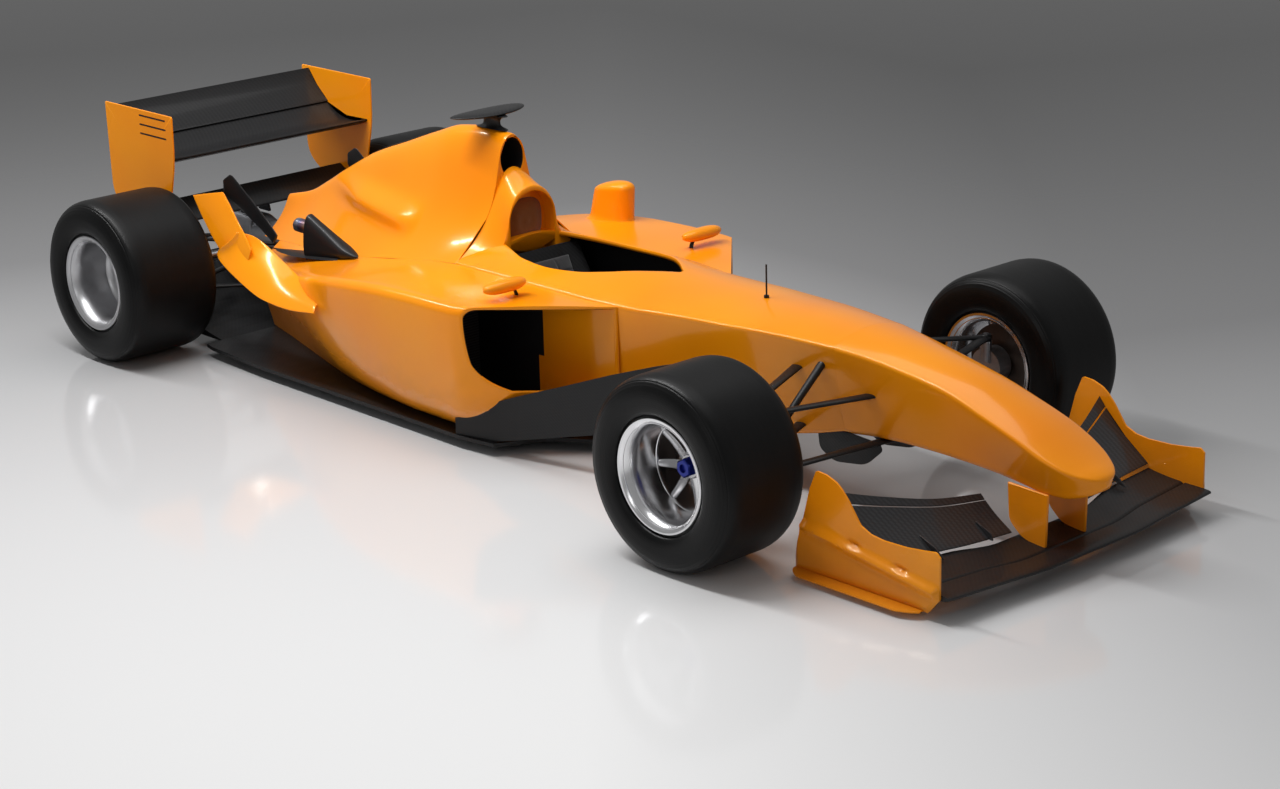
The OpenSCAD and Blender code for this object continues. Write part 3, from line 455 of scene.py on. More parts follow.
def grid(points, mat=0, wrapU=False, wrapV=False):
    # one surface from an array of points[u, v, xyz]
    nu, nv = points.shape[:2]
    return (points.reshape(-1, 3), gridFaces(nu, nv, wrapU, wrapV), mat)


def capped(points, mat=0):
    # a tube of closed rings points[u, v]; both ends run in to their middles
    first = points[:1].mean(axis=1, keepdims=True) + 0 * points[:1]
    last = points[-1:].mean(axis=1, keepdims=True) + 0 * points[-1:]
    return grid(np.concatenate([first, points, last]), mat, wrapV=True)


def revolve(profile, axleX, wheelY, side, mat=0, steps=96):
    # point (r, w) turned round the axle: (axleX + r cos a, side (wheelY + w), axleHeight + r sin a)
    a = np.linspace(0, 2 * np.pi, steps, endpoint=False)[:, None]
    r, w = np.asarray(profile, float).T
    pts = np.stack([axleX + r * np.cos(a), side * (wheelY + w) + 0 * a, axleHeight + r * np.sin(a)], -1)
    return grid(pts, mat, wrapU=True)


def arcs(corners, radius, steps=5):
    # outline with each corner rounded: a quadratic curve from radius before it to radius after it
    c = np.asarray(corners, float)
    before, after = np.roll(c, 1, 0), np.roll(c, -1, 0)
    radius = np.broadcast_to(np.asarray(radius, float), len(c))[:, None]

    def cut(far):
        d = far - c
        n = np.linalg.norm(d, axis=1, keepdims=True)
        return c + d / n * np.minimum(radius, n * 0.48)
    a, b = cut(before), cut(after)
    t = np.linspace(0, 1, steps)[None, :, None]
    return ((1 - t) ** 2 * a[:, None] + 2 * t * (1 - t) * c[:, None] + t * t * b[:, None]).reshape(-1, 2)


tub = {  # x, half width, edge height, deck rise, underside, half width there
    "table": [[-399.7, 285, 543, 66, 50.3, 285], [-60, 285, 543, 78, 50.3, 285], [300, 285, 543, 84, 50.3, 285],
              [460, 268, 542, 75, 70, 238], [620, 254, 550, 58, 92, 208], [760, 241, 557, 47, 118, 186],
              [887, 229, 560, 40, 146, 168], [1100, 204, 565, 37, 202, 145], [1349.7, 172, 560, 35, 256, 122]],
    "opening": [[0, 0.06], [0.05, 0.2], [0.12, 0.40], [0.28, 0.74], [0.45, 0.94], [0.62, 1], [0.8, 0.93],
                [0.92, 0.78], [1, 0.66]],
    "openFront": 480, "openLength": 780, "openHalf": 200, "ridge": 9, "wall": 9,
}
nose = {  # the same columns
    "table": [[1350, 172, 560, 35, 256, 122], [1483, 153, 547, 34, 268, 112], [1610, 141, 529, 32, 271, 104],
              [1780, 131, 499, 28, 268, 98], [1954, 135, 448, 24, 260, 98], [2080, 137, 405, 20, 246, 98],
              [2148, 134, 376, 18, 236, 96], [2208, 122, 350, 15, 236, 88], [2258, 99, 330, 12, 246, 72],
              [2294, 70, 318, 9, 260, 50], [2314, 36, 310, 5, 276, 26], [2320, 12, 304, 3, 284, 9]],
    "ridge": 12, "closer": 2140,
}


def hullSection(x, table, edge, ridge):
    # half a section from the middle of the underside, round the lower corner, up the side, over the
    # ridge and across the deck z = zr + rise (1 - (y / w)^2) to y = edge; every part is one array
    w, zr, rise, zb, wb = (c[:, None] for c in along(table, x))
    r = np.minimum(np.minimum(26, wb * 0.6), (zr - zb) * 0.4)
    e = np.minimum(ridge, (zr - zb) * 0.2)
    edge = edge[:, None]
    t = np.linspace(0, 1, 4)[None, :-1]
    bottom = (wb - r) * t, zb + 0 * t
    a = np.linspace(0, np.pi / 2, 7)[None]
    corner = wb - r + r * np.sin(a), zb + r - r * np.cos(a)
    t = np.linspace(0, 1, 9)[None, 1:] * (1 - e / (zr - zb - r))
    bow = np.sin(np.pi * t) * (w - 20) * 0.018
    side = wb + (w - wb) * t + bow * (wb < w - 4), zb + r + (zr - zb - r) * t
    topY = w - np.minimum(e, (w - edge) * 0.4)
    t = np.linspace(0, 1, 6)[None, 1:-1]
    sy, sz = side[0][:, -1:], side[1][:, -1:]
    ty, tz = topY, zr + rise * (1 - (topY / w) ** 2)
    over = ((1 - t) ** 2 * sy + 2 * t * (1 - t) * w + t * t * ty,
            (1 - t) ** 2 * sz + 2 * t * (1 - t) * zr + t * t * tz)
    t = np.linspace(0, 1, 15)[None]
    dy = topY + (edge - topY) * t
    deck = dy, zr + rise * (1 - (dy / w) ** 2)
    y, z = (np.concatenate([p[k] for p in (bottom, corner, side, over, deck)], axis=1) for k in (0, 1))
    return xyz(x[:, None], y, z)


def buildMonocoque():
    # half sections along the car, open where the cockpit's outline half width is above 0
    t = tub
    front, back = t["openFront"], t["openFront"] - t["openLength"]
    x = np.unique(np.concatenate([np.linspace(-399.7, back, 6), [back - 0.1], np.linspace(back, front, 60),
                                  [front + 0.1], np.linspace(front, 1349.7, 44)]))
    share = (front - x) / t["openLength"]
    half = along(t["opening"], np.clip(share, 0, 1))[0] * t["openHalf"]
    isOpen = (share >= 0) & (share <= 1)
    half = np.where(isOpen, half, 0)
    side = hullSection(x, t["table"], half, t["ridge"])
    drop = isOpen[:, None] * np.array([0.0015, 0.006, 0.016])[None]  # rolled edge of the opening
    reach = isOpen[:, None] * np.array([0.004, 0.006, 0.006])[None]
    lip = np.repeat(side[:, -1:], 3, axis=1)
    lip[:, :, 1] = np.maximum(lip[:, :, 1] - reach, 0)
    lip[:, :, 2] -= drop
    side = np.concatenate([side, lip], axis=1)

    def endWall(ring):
        # flat end: the section shrunk towards its middle height
        k = np.linspace(1, 0, 4)[:, None, None]
        centre = np.array([ring[0, 0], 0, ring[:, 2].mean()])
        return centre + (ring[None] - centre) * k
    whole = np.concatenate([endWall(side[0])[::-1][:-1], side, endWall(side[-1])[1:]])
    parts = [grid(whole)]
    meshPiece("monocoqueShell", parts + mirrored(parts), "chassis", "body_orange", [orange, innerCarbon],
              replaces=["monocoque"], solid=(t["wall"] * mm, 1))


def buildNose():
    # half sections to the tip, packed closer by x = turn + (tip - turn) sin a, and closed at both ends
    n = nose
    start, tip = n["table"][0][0], n["table"][-1][0]
    bend = n["closer"]
    x = np.unique(np.concatenate([np.linspace(start, bend, 46),
                                  bend + (tip - bend) * np.sin(np.linspace(0, np.pi / 2, 30))]))
    section = hullSection(x, n["table"], np.zeros_like(x), n["ridge"])
    middles = section.mean(axis=1, keepdims=True) * np.array([1, 0, 1]) + 0 * section
    parts = [grid(np.concatenate([middles[:1], section, middles[-1:]]))]
    meshPiece("noseShell", parts + mirrored(parts), "chassis", "body_orange", [orange], replaces=["nose_cone"])


cover = {  # x, crest, base, half width at base, neck half width, sharpness of the flare
    "table": [[-1780, 520, 372.5, 140, 26, 2.1], [-1640, 556, 385, 166, 34, 2.1],
              [-1513, 618, 400, 196, 42, 2.1], [-1380, 690, 415, 228, 50, 2.1],
              [-1207, 777, 436, 266, 64, 2.1], [-1000, 852, 458, 285, 78, 2.2], [-810, 920, 487, 285, 88, 2.4],
              [-680, 961, 505, 285, 92, 2.6], [-520, 976, 530, 285, 88, 3.0], [-400, 968, 540, 285, 78, 3.6]],
    "inlet": (54, 74, 880), "blister": 34,
    "spine": (-1270, -760), "spineHalf": 8, "spineDeep": 6,
}


def coverSection(x, columns, t):
    # half width y = neck sqrt(1 - t^4) + (base - neck) (1 - t)^q at height base + (crest - base) t
    zc, zb, wb, wn, q = (c[:, None] for c in columns)
    t = t[None]
    y = wn * np.sqrt(np.clip(1 - t ** 4, 0, 1)) + (wb - wn) * (1 - t) ** q
    return xyz(x[:, None], y, zb + (zc - zb) * t)


def buildEngineCover():
    # half sections that end in an oval inlet with a rolled rim and a duct behind it
    c = cover
    x = np.concatenate([np.linspace(-1780, -520, 76)[:-1], np.linspace(-520, -406, 16)])
    t = np.sin(np.linspace(0, np.pi / 2, 52)) ** 1.15
    half = coverSection(x, along(c["table"], x), t)
    # blister over the exhausts: a rounded bump along the side, ending in a nose at the front
    px, pz = half[..., 0], half[..., 2]
    line = 0.625 - (px + 1.0) * 0.04
    rise = np.clip((-0.74 - px) / 0.10, 0, 1)
    fade = np.clip((px + 1.52) / 0.35, 0, 1)
    bump = np.exp(-((pz - line) / 0.040) ** 2) * np.sqrt(rise) * fade ** 1.5
    half[..., 1] += c["blister"] * mm * bump
    a, b, zi = c["inlet"]
    angle = np.pi * (t - 0.5)

    def oval(grow, xAt, shrink=1.0):
        y = (a + grow) * np.cos(angle) * shrink
        z = zi + (b + grow) * np.sin(angle) * shrink
        return np.stack([np.full_like(y, xAt), np.maximum(y, 0), z], -1)[None] * mm
    front = half[-1:].copy()
    inset = front.copy()
    inset[..., 0] = -0.4005
    inset[..., 1] *= 0.985
    inset[..., 2] -= 0.003 * (t[None] > 0.6)
    rim = np.concatenate([oval(5, -399.5), oval(1, -400.5), oval(0, -404)])
    duct = np.concatenate([oval(0, -404), oval(-2, -440), oval(-6, -560), oval(-6, -600, 0.0)])
    parts = [grid(np.concatenate([half, inset, rim])), grid(duct, 1)]
    meshPiece("engineCoverShell", parts + mirrored(parts), "chassis", "body_orange", [orange, innerCarbon],
              sharp=50, replaces=["engine_cover"])
    # black strip along the crest, set into the cover
    back, front = c["spine"]
    x = np.linspace(back, front, 40)
    crest = along(c["table"], x)[0]
    ends = np.sqrt(np.clip(1 - ((x - (back + front) / 2) / 256) ** 2, 0, 1))
    across = np.linspace(-1, 1, 9)[None]
    y = across * c["spineHalf"] * ends[:, None]
    z = crest[:, None] + 3.5 * ends[:, None] - 0.03 * y ** 2
    top = xyz(x[:, None], y, z)
    under = top.copy()
    under[..., 2] -= c["spineDeep"] * mm
    meshPiece("coverSpine", [capped(np.concatenate([top, under[:, ::-1]], axis=1))], "chassis", "carbon_black",
              [carbon])


head = {  # the cover's columns
    "table": [[-402, 846, 540, 284, 92, 2.6], [-375, 832, 544, 262, 98, 2.9], [-345, 812, 550, 226, 106, 3.5],
              [-318, 797, 554, 196, 112, 4.4], [-300, 790, 556, 182, 114, 5.5]],
    "archHalf": 106, "archTop": 772, "jambFoot": 500, "depth": 58,
}


def buildHeadFairing():
    # half sections like the cover's, ending in an arched mouth with a tunnel for the headrest
    h = head
    x = np.linspace(-402, -303, 24)
    t = np.sin(np.linspace(0, np.pi / 2, 44)) ** 1.1
    half = coverSection(x, along(h["table"], x), t)
    r, top = h["archHalf"], h["archTop"]
    foot = h["jambFoot"]
    straight = top - r - foot
    length = t * (straight + r * np.pi / 2)
    bend = np.clip((length - straight) / r, 0, np.pi / 2)

    def arch(xAt, grow=0.0):
        # straight jamb up to the spring of the arch, then a quarter circle to the crown
        y = (r + grow) * np.cos(bend)
        z = np.where(length < straight, foot + length, top - r + (r + grow) * np.sin(bend))
        return np.stack([np.full_like(y, xAt), y, z], -1)[None] * mm
    face = half[-1:].copy()
    face[..., 0] = -0.2995
    face[..., 1:] = face[..., 1:] * 0.6 + arch(-300, 8)[..., 1:] * 0.4
    rows = np.concatenate([half, face, arch(-298.5, 4), arch(-299.5, 0), arch(-304)])
    tunnel = np.concatenate([arch(-304), arch(-300 - h["depth"]), arch(-300 - h["depth"], -r)])
    parts = [grid(rows), grid(tunnel, 0)]
    meshPiece("headFairingShell", parts + mirrored(parts), "chassis", "body_orange", [orange], sharp=50,
              replaces=["head_fairing"])
    # headrest pad: crowned towards the driver, pulled in at its rim; its dark orange cloth colour is painted
    # shade
    s = np.linspace(0, 1, 9)[:, None]
    a = turn(64)
    ry, rz = 88 * s, 80 * s
    k = rounded(a, 3.2)
    y, z = ry * k * np.cos(a), 655 + rz * k * np.sin(a)
    face = -352 + 22 * (1 - s ** 4) + 1.8 * np.cos(s * np.pi * 4) * (s < 0.9) + 0 * a
    pad = xyz(face, y, z)
    rim = pad[-1:].copy()
    rim[..., 0] = -0.3585
    piece = meshPiece("headrestPad", [grid(np.concatenate([pad, rim]), wrapV=True)], "chassis", "headrest_foam",
                      [padClothPaintedShade], replaces=["headrest"])


cameraPlate = {"x": -500, "halfX": 62, "halfY": 168, "top": 1040, "edge": 9, "foot": 977}


def buildCameraPlate():
    # lens-shaped plate: oval rings that shrink to the middle, on a stem of ovals that flares at both ends
    c = cameraPlate
    a = turn(72)
    v = np.linspace(0, np.pi, 25)[:, None]
    grow = np.sin(v) ** 0.55
    x = c["x"] - 10 + c["halfX"] * grow * np.cos(a) - 22 * (grow * np.sin(a)) ** 2
    y = c["halfY"] * grow * np.sin(a)
    z = c["top"] - c["edge"] + c["edge"] * np.cos(v) + 0 * a
    plate = xyz(x, y, z)
    t = np.linspace(0, 1, 16)[:, None]
    waist = 1 + 0.9 * np.abs(2 * t - 1) ** 3
    sx = c["x"] - 6 + 44 * waist * np.cos(a)
    sy = 15 * waist * np.sin(a)
    sz = c["foot"] - 3 * np.cos(a) ** 2 + (c["top"] - c["edge"] - 4 - c["foot"]) * t + 0 * a
    meshPiece("cameraPlate", [capped(plate), capped(xyz(sx, sy, sz))], "chassis", "carbon_black",
              [carbon], replaces=["camera_wing"])


buildCameraPlate()
buildMonocoque()
buildNose()
buildEngineCover()
buildHeadFairing()
print("body shells made")


pod = {
    # outer x, inner x, inner y, inner top, outer top, outer y, lower edge height, half width there, underside
    "table": [[62, 443, 270.2, 540, 545, 652, 300, 622, 236],
              [10, 300, 285.3, 541, 545, 660, 226, 628, 150],
              [-130, 60, 285.3, 541, 545, 664, 92, 590, 50.3],
              [-330, -300, 285.3, 541, 540, 664, 96, 588, 50.3],
              [-520, -520, 285.3, 530, 526, 658, 108, 570, 50.3],
              [-680, -680, 285.3, 505, 506, 642, 118, 542, 50.3],
              [-850, -850, 285.3, 480, 476, 602, 128, 498, 50.3],
              [-1010, -1010, 285.3, 457, 444, 540, 136, 440, 50.3],
              [-1207, -1207, 267.3, 436, 400, 444, 142, 368, 50.3],
              [-1380, -1380, 229.3, 415, 366, 374, 146, 312, 50.3],
              [-1513, -1513, 197.3, 400, 340, 324, 150, 272, 50.3],
              [-1640, -1640, 167.3, 385, 318, 279, 150, 236, 50.3]],
    "round": 34, "wall": 10, "radiatorX": -262, "paintedX": 78, "paintedY": 305,
}


def podRings(s, grow):
    # closed section at station number s: inner wall, top, shoulder arc, side, soft lower corner, underside;
    # each point's x runs from the inner to the outer end of the slanted station
    p = pod
    cols = monotone(np.arange(len(p["table"])), p["table"], s)
    xo, xi, yi0, zi, zo, yo0, zl, yl, zb = (c[:, None] for c in cols)
    g = grow
    yi, yo, zi, zo, zl, yl, zb = yi0 + g, yo0 - g, zi - g, zo - g, zl + g, yl - g, zb + g
    k = np.minimum(np.minimum(p["round"], (yo - yi) * 0.4), (zo - zl) * 0.35)

    def line(a, b, n):
        t = np.linspace(0, 1, n)[None, :-1]
        return (a[0] + (b[0] - a[0]) * t, a[1] + (b[1] - a[1]) * t)

    def curve(a, b, c, n):
        t = np.linspace(0, 1, n)[None, :-1]
        return tuple((1 - t) ** 2 * a[i] + 2 * t * (1 - t) * b[i] + t * t * c[i] for i in (0, 1))
    wall = line((yi, zb), (yi, zi), 7)
    lid = line((yi, zi), (yo - k, zo), 14)
    crown = np.sin(np.pi * np.linspace(0, 1, 14)[None, :-1]) ** 1.5 * 4.0 * (grow == 0)
    lid = (lid[0], lid[1] + crown)
    a = np.linspace(0, np.pi / 2, 9)[None]
    shoulder = (yo - k + k * np.sin(a), zo - k + k * np.cos(a))
    t = np.linspace(0, 0.82, 15)[None, 1:]
    side = (yo + (yl + k * 0.2 - yo) * t * t, zo - k + (zl - zo + k) * t)
    last = (side[0][:, -1:], side[1][:, -1:])
    foot = (yi + (yl - yi) * 0.75, zb)
    under = curve(last, (yl * 0.985, zl * 0.55 + zb * 0.45), foot, 12)
    floor = line(foot, (yi, zb), 6)
    y, z = (np.concatenate([q[i] + 0 * yi for q in (wall, lid, shoulder, side, under, floor)], axis=1)
            for i in (0, 1))
    x = xi + (xo - xi) * (y - yi0) / (yo0 - yi0)
    return xyz(x, y, z)


def buildSidepods():
    # outer skin, a rolled lip at the mouth and a lining inside it, painted orange near the mouth's lower inner
    # edge; deeper in, the lining's dark carbon on the chassis side is painted shade
    p = pod
    n = len(p["table"]) - 1
    s = np.concatenate([np.linspace(0, 2, 24)[:-1], np.linspace(2, n, 80)])
    outer = podRings(s, 0.0)
    rows = []
    for share, ahead in ((1, -3), (0.75, 1.5), (0.35, 3.0), (0, 0.5)):
        rows.append(podRings(np.array([0.0]), p["wall"] * share))
        rows[-1][..., 0] += ahead * mm
    lip = np.concatenate(rows)
    inside = podRings(np.linspace(0, 2.9, 30), p["wall"])
    inside[:, :, 0] = np.maximum(inside[:, :, 0], p["radiatorX"] * mm - 0.01)
    tail = outer[-1:].mean(axis=1, keepdims=True) + 0 * outer[-1:]
    lining, quads, _ = grid(np.concatenate([inside[::-1], lip[:1]]), 1, wrapV=True)
    middle = lining[quads].mean(axis=1)
    # faces outside these limits keep the dark lining, which on the inner wall is painted shade over the orange
    # chassis side
    painted = (middle[:, 1] < p["paintedY"] * mm) & (middle[:, 0] > p["paintedX"] * mm)
    painted |= (middle[:, 2] < 0.30) & (middle[:, 0] > 0.05)
    parts = [grid(np.concatenate([lip, outer[1:], tail]), wrapV=True), (lining, quads, np.where(painted, 0, 1))]
    bothSides("sidepodShell", parts, "body_orange", [orange, innerCarbon], ["sidepod_{side}"], sharp=42)


flip = {  # outer edge x, y, z and inner edge x, y, z, counted from the front of each blade
    "blade": [[-792, 640, 354, -830, 566, 374], [-950, 646, 340, -950, 540, 402],
              [-1095, 650, 350, -1062, 524, 440], [-1266, 648, 404, -1182, 530, 500],
              [-1374, 640, 452, -1262, 560, 548], [-1392, 634, 470, -1300, 600, 560]],
    "fin": [[-1250, 604, 395, -1222, 596, 505], [-1365, 612, 452, -1262, 590, 548],
            [-1440, 616, 520, -1322, 584, 605], [-1500, 616, 592, -1368, 580, 655],
            [-1556, 613, 664, -1408, 578, 694]],
    "thick": 7, "camber": 16,
}


def ribbon(table, camber, rows=44, across=16):
    # sheet between two edge curves, bowed by camber sin(pi t) along its own normal
    s = np.linspace(0, len(table) - 1, rows)
    cols = monotone(np.arange(len(table)), table, s)
    a, b = np.stack(cols[:3], -1)[:, None], np.stack(cols[3:], -1)[:, None]
    t = np.linspace(0, 1, across)[None, :, None]
    sheet = a + (b - a) * t
    normal = np.cross(np.gradient(sheet, axis=0), np.gradient(sheet, axis=1))
    normal /= np.linalg.norm(normal, axis=2, keepdims=True) + 1e-9
    return (sheet + normal * camber * np.sin(np.pi * t)) * mm


def buildFlipUps():
    # a bright blade that sweeps up and back, and an upright fin that carries on behind it
    f = flip
    parts = [grid(ribbon(f["blade"], f["camber"])), grid(ribbon(f["fin"], 6))]
    bothSides("flipUp", parts, "body_orange", [orange], ["flip_ups"], solid=(f["thick"] * mm, 0), bevel=0.0015)


chimney = {"x": -494, "y": 555, "length": 104, "width": 50, "base": 520, "top": 700}


def buildChimney():
    # upright pod: superellipse plan that leans back and draws in over a rounded top
    c = chimney
    v = np.linspace(0, 1, 26)[:, None]
    a = turn(56)
    k = rounded(a, 2.6)
    v = np.sin(v * np.pi / 2)
    draw = np.sqrt(np.clip(1 - np.clip((v - 0.78) / 0.22, 0, 1) ** 2.2, 0, 1))
    flare = 1 + 0.22 * np.clip(1 - v / 0.16, 0, 1) ** 2
    slope = 34 * (np.cos(a) * draw - 1) * v ** 2 * 0.5
    x = c["x"] + 8 + c["length"] * k * np.cos(a) * draw * flare * (1 - 0.16 * v) + 26 * v
    y = c["y"] + c["width"] * k * np.sin(a) * draw * flare
    z = c["base"] + (c["top"] - c["base"]) * v + slope
    meshPiece("coolingChimneyPod", [grid(xyz(x, y, z), wrapV=True)], "chassis",
              "body_orange", [orange], replaces=["cooling_chimney"])


mirror = {"x": 90, "y": 470, "z": 590, "half": 94, "deep": 34, "tall": 23}


def buildMirrors():
    # housing: superellipse sections across the car, flat and glazed at the back, on an arched stalk
    m = mirror
    v = np.linspace(-1, 1, 30)[:, None]
    a = turn(40)
    draw = np.sqrt(np.clip(1 - np.abs(v) ** 3.0, 0, 1))
    x = m["x"] + m["deep"] * np.maximum(np.cos(a), -0.55) * draw
    y = m["y"] + m["half"] * v + 0 * a
    z = m["z"] + m["tall"] * np.sin(a) * draw * (1 + 0.1 * np.cos(a))
    shell = grid(xyz(x, y, z), wrapV=True)
    s = np.linspace(0, 1, 6)[:, None]
    back = m["x"] - m["deep"] * 0.55 - 1.2
    glass = xyz(back, m["y"] + s * m["half"] * 0.84 * np.cos(a), m["z"] + s * m["tall"] * 0.62 * np.sin(a))
    t = np.linspace(0, 1, 12)[:, None]
    sx = m["x"] + 9 * np.cos(a) + 0 * t
    sy = m["y"] - 54 + 20 * t ** 2 + 5 * np.sin(a)
    sz = 536 + (m["z"] - 536 - 10) * t + 0 * a
    parts = [shell, grid(glass, 1, wrapV=True), grid(xyz(sx, sy, sz), 2, wrapV=True)]
    bothSides("mirror", parts, "body_orange", [orange, mirrorGlass, carbon], ["mirrors"])


exhaust = {"inner": 294, "width": 62, "tip": [-1292, 322, 538], "pipe": 27}


def buildExhausts():
    # fairing: triangle sections that grow from a point at the front, with a crowned outer face; the tailpipe
    # is a short tube that comes out of its upright back
    e = exhaust
    u = np.linspace(0, 1, 24)[:, None]
    v = turn(48)
    k = rounded(v, 2.6)
    top = 478 + 116 * u
    foot = 472 - 62 * u
    x = -925 - 295 * u + 10 * np.sin(v) * k * u
    y = e["inner"] + e["width"] / 2 + e["width"] / 2 * k * np.cos(v) * np.sqrt(np.minimum(u * 4, 1))
    z = (top + foot) / 2 + (top - foot) / 2 * k * np.sin(v)
    parts = [capped(xyz(x, y, z))]
    t = np.linspace(0, 1, 8)
    px, py, pz = e["tip"]
    radius = np.concatenate([0 * t[:1], e["pipe"] + 0 * t, [e["pipe"] - 1, e["pipe"] - 4, e["pipe"] - 4, 0]])
    run = np.concatenate([[0], 100 * t, [101.5, 100, 20, 20]])
    ringY = py + radius[:, None] * np.cos(v)
    ringZ = pz + radius[:, None] * np.sin(v) + (run[:, None] - 100) * 0.02
    ringX = px + 100 - run[:, None] + 0 * v
    parts.append(grid(xyz(ringX, ringY, ringZ), 1, wrapV=True))
    # black carbon sheet on the sidepod's top behind the fairing, painted shade along the edge of the cut-out
    # beside the engine cover
    s = np.linspace(0, 1, 30)[:, None]
    w = np.linspace(-1, 1, 10)[None]
    px = -1010 - 560 * s + 0 * w
    half = 46 * np.sin(np.pi * np.clip(s * 1.15 + 0.02, 0, 1)) ** 0.6
    py = 352 - 70 * s + half * w
    pz = 459 - 66 * s + 5 * (1 - w ** 2) - 3
    parts.append(grid(xyz(px, py, pz), 2))
    bothSides("exhaust", parts, "carbon_black", [carbon, hotSteel, innerCarbon], ["exhausts"])


vane = {"root": [-1481, 300, 442], "tip": [-1790, 306, 628], "deep": 56, "thick": 12}


def buildVanes():
    # tapered blade from the sidepod's tail up and back to the wing: a lens section that widens upwards
    v = vane
    t = np.linspace(0, 1, 24)[:, None]
    a = turn(28)
    root, tip = np.array(v["root"], float), np.array(v["tip"], float)
    deep = v["deep"] * (0.45 + 0.55 * t) * np.sqrt(np.clip(1 - ((t - 0.9) / 0.1).clip(0, 1) ** 2, 0.04, 1))
    x = root[0] + (tip[0] - root[0]) * t + deep * 0.55 * np.cos(a)
    y = root[1] + (tip[1] - root[1]) * t + v["thick"] / 2 * np.sin(a)
    z = root[2] + (tip[2] - root[2]) * t ** 0.9 + deep * 0.8 * np.cos(a)
    parts = [capped(xyz(x, y, z))]
    meshPiece("tailVanes", parts + mirrored(parts), "chassis", "carbon_black", [carbon])


buildExhausts()
buildVanes()
buildSidepods()
buildFlipUps()
buildChimney()
buildMirrors()
print("sidepods made")


seat = {
    "curve": [[-276, 560], [-222, 450], [-150, 330], [-92, 224], [-40, 160], [0, 128], [40, 112], [96, 116],
              [150, 132]],
    "half": 190, "base": 60.6, "bolster": 30, "pads": [(0.07, 0.50), (0.55, 0.95)], "padThick": 24,
}


def seatCurve(t):
    # the sitting line from the shoulders (t = 0) to under the knees (t = 1), with its normal
    c = np.array(seat["curve"], float)
    arc = np.concatenate([[0], np.cumsum(np.hypot(*np.diff(c, axis=0).T))])
    x, z = monotone(arc / arc[-1], c, t)
    dx, dz = np.gradient(x), np.gradient(z)
    size = np.hypot(dx, dz)
    return x, z, -dz / size, dx / size


def buildSeat():
    # moulded shell: the sitting line lifted along its normal towards both sides, closed below
    s = seat
    t = np.linspace(0, 1, 56)
    x, z, nx, nz = (q[:, None] for q in seatCurve(t))
    v = np.linspace(-1, 1, 41)[None]
    side = np.clip((np.abs(v) - 0.55) / 0.4, 0, 1)
    fade = np.sin(np.pi * np.clip(t[:, None] * 0.94 + 0.05, 0, 1)) ** 0.6
    lift = s["bolster"] * side ** 2 * (3 - 2 * side) * fade
    lip = 8 * np.clip((np.abs(v) - 0.94) / 0.06, 0, 1) ** 2
    y = s["half"] * v + 0 * x
    top = np.stack([x + nx * (lift - lip), y, np.minimum(z + nz * (lift - lip), 560)], -1)
    under = np.stack([np.where(x < -240, x - 12, np.clip(x, -250, 150)) + 0 * v, y,
                      np.where(x < -240, np.maximum(z - 12, s["base"]), s["base"]) + 0 * v], -1)
    shell = capped(np.concatenate([top, under[:, ::-1]], axis=1) * mm)
    meshPiece("seatShell", [shell], "chassis", "carbon_black", [innerCarbon], replaces=["seat"])
    # pads: crowned forms (1 - |2u - 1|^5)^0.5 (1 - |v|^5)^0.5 with sewn channels across them
    parts = []
    for start, end in s["pads"]:
        x, z, nx, nz = (q[:, None] for q in seatCurve(np.linspace(start, end, 72)))
        u = np.linspace(0, 1, 72)[:, None]
        v = np.linspace(-1, 1, 61)[None]
        crown = np.sqrt(np.clip(1 - np.abs(2 * u - 1) ** 5, 0, 1) * np.clip(1 - np.abs(v) ** 5, 0, 1))
        waist = 1 - 0.05 * (1 - (2 * u - 1) ** 2)
        seams = sum(np.exp(-((u - at) / 0.012) ** 2) for at in (0.2, 0.4, 0.6, 0.8))
        seams = seams + np.exp(-((np.abs(v) - 0.36) / 0.022) ** 2)
        body = s["padThick"] * (0.86 + 0.14 * np.cos(v * np.pi / 2))
        high = 3 + crown * (body - 4.5 * np.clip(seams, 0, 1))
        py = 0.66 * s["half"] * v * waist
        pad = np.stack([x + nx * high, py, z + nz * high], -1)
        back = np.stack([x + 0 * high, py, z + 0 * high], -1)
        parts.append(capped(np.concatenate([pad, back[:, ::-1]], axis=1) * mm))
    piece = meshPiece("seatPads", parts, "chassis", "seat_black", [seatCloth], sharp=70)


grips = {
    "origin": (300, 0, 505), "lean": 20.0, "grip": (62, 14, 17), "gripY": 112,
    "plate": (52, 98, 12), "hub": 26,
}


def onColumn(points):
    # local axes of the steering column: x down the wheel, y across, z forwards along the column
    lean = math.radians(90 + grips["lean"])
    ex = np.array([math.cos(lean), 0, -math.sin(lean)])
    ez = np.array([math.sin(lean), 0, math.cos(lean)])
    return (np.array(grips["origin"]) + points @ np.array([ex, [0, 1.0, 0], ez])) * mm


def knob(x, y, r, z0, z1, mat, sides=24):
    # turned button with a rounded top between depths z0 and z1
    a = turn(sides)
    rr = np.array([r, r, 0.86 * r, 0.5 * r, 0.01])[:, None]
    zz = np.array([z0, z1 + 1.2, z1 + 0.2, z1, z1])[:, None]
    return grid(onColumn(np.stack([x + rr * np.cos(a), y + rr * np.sin(a), zz + 0 * a], -1)), mat, wrapV=True)


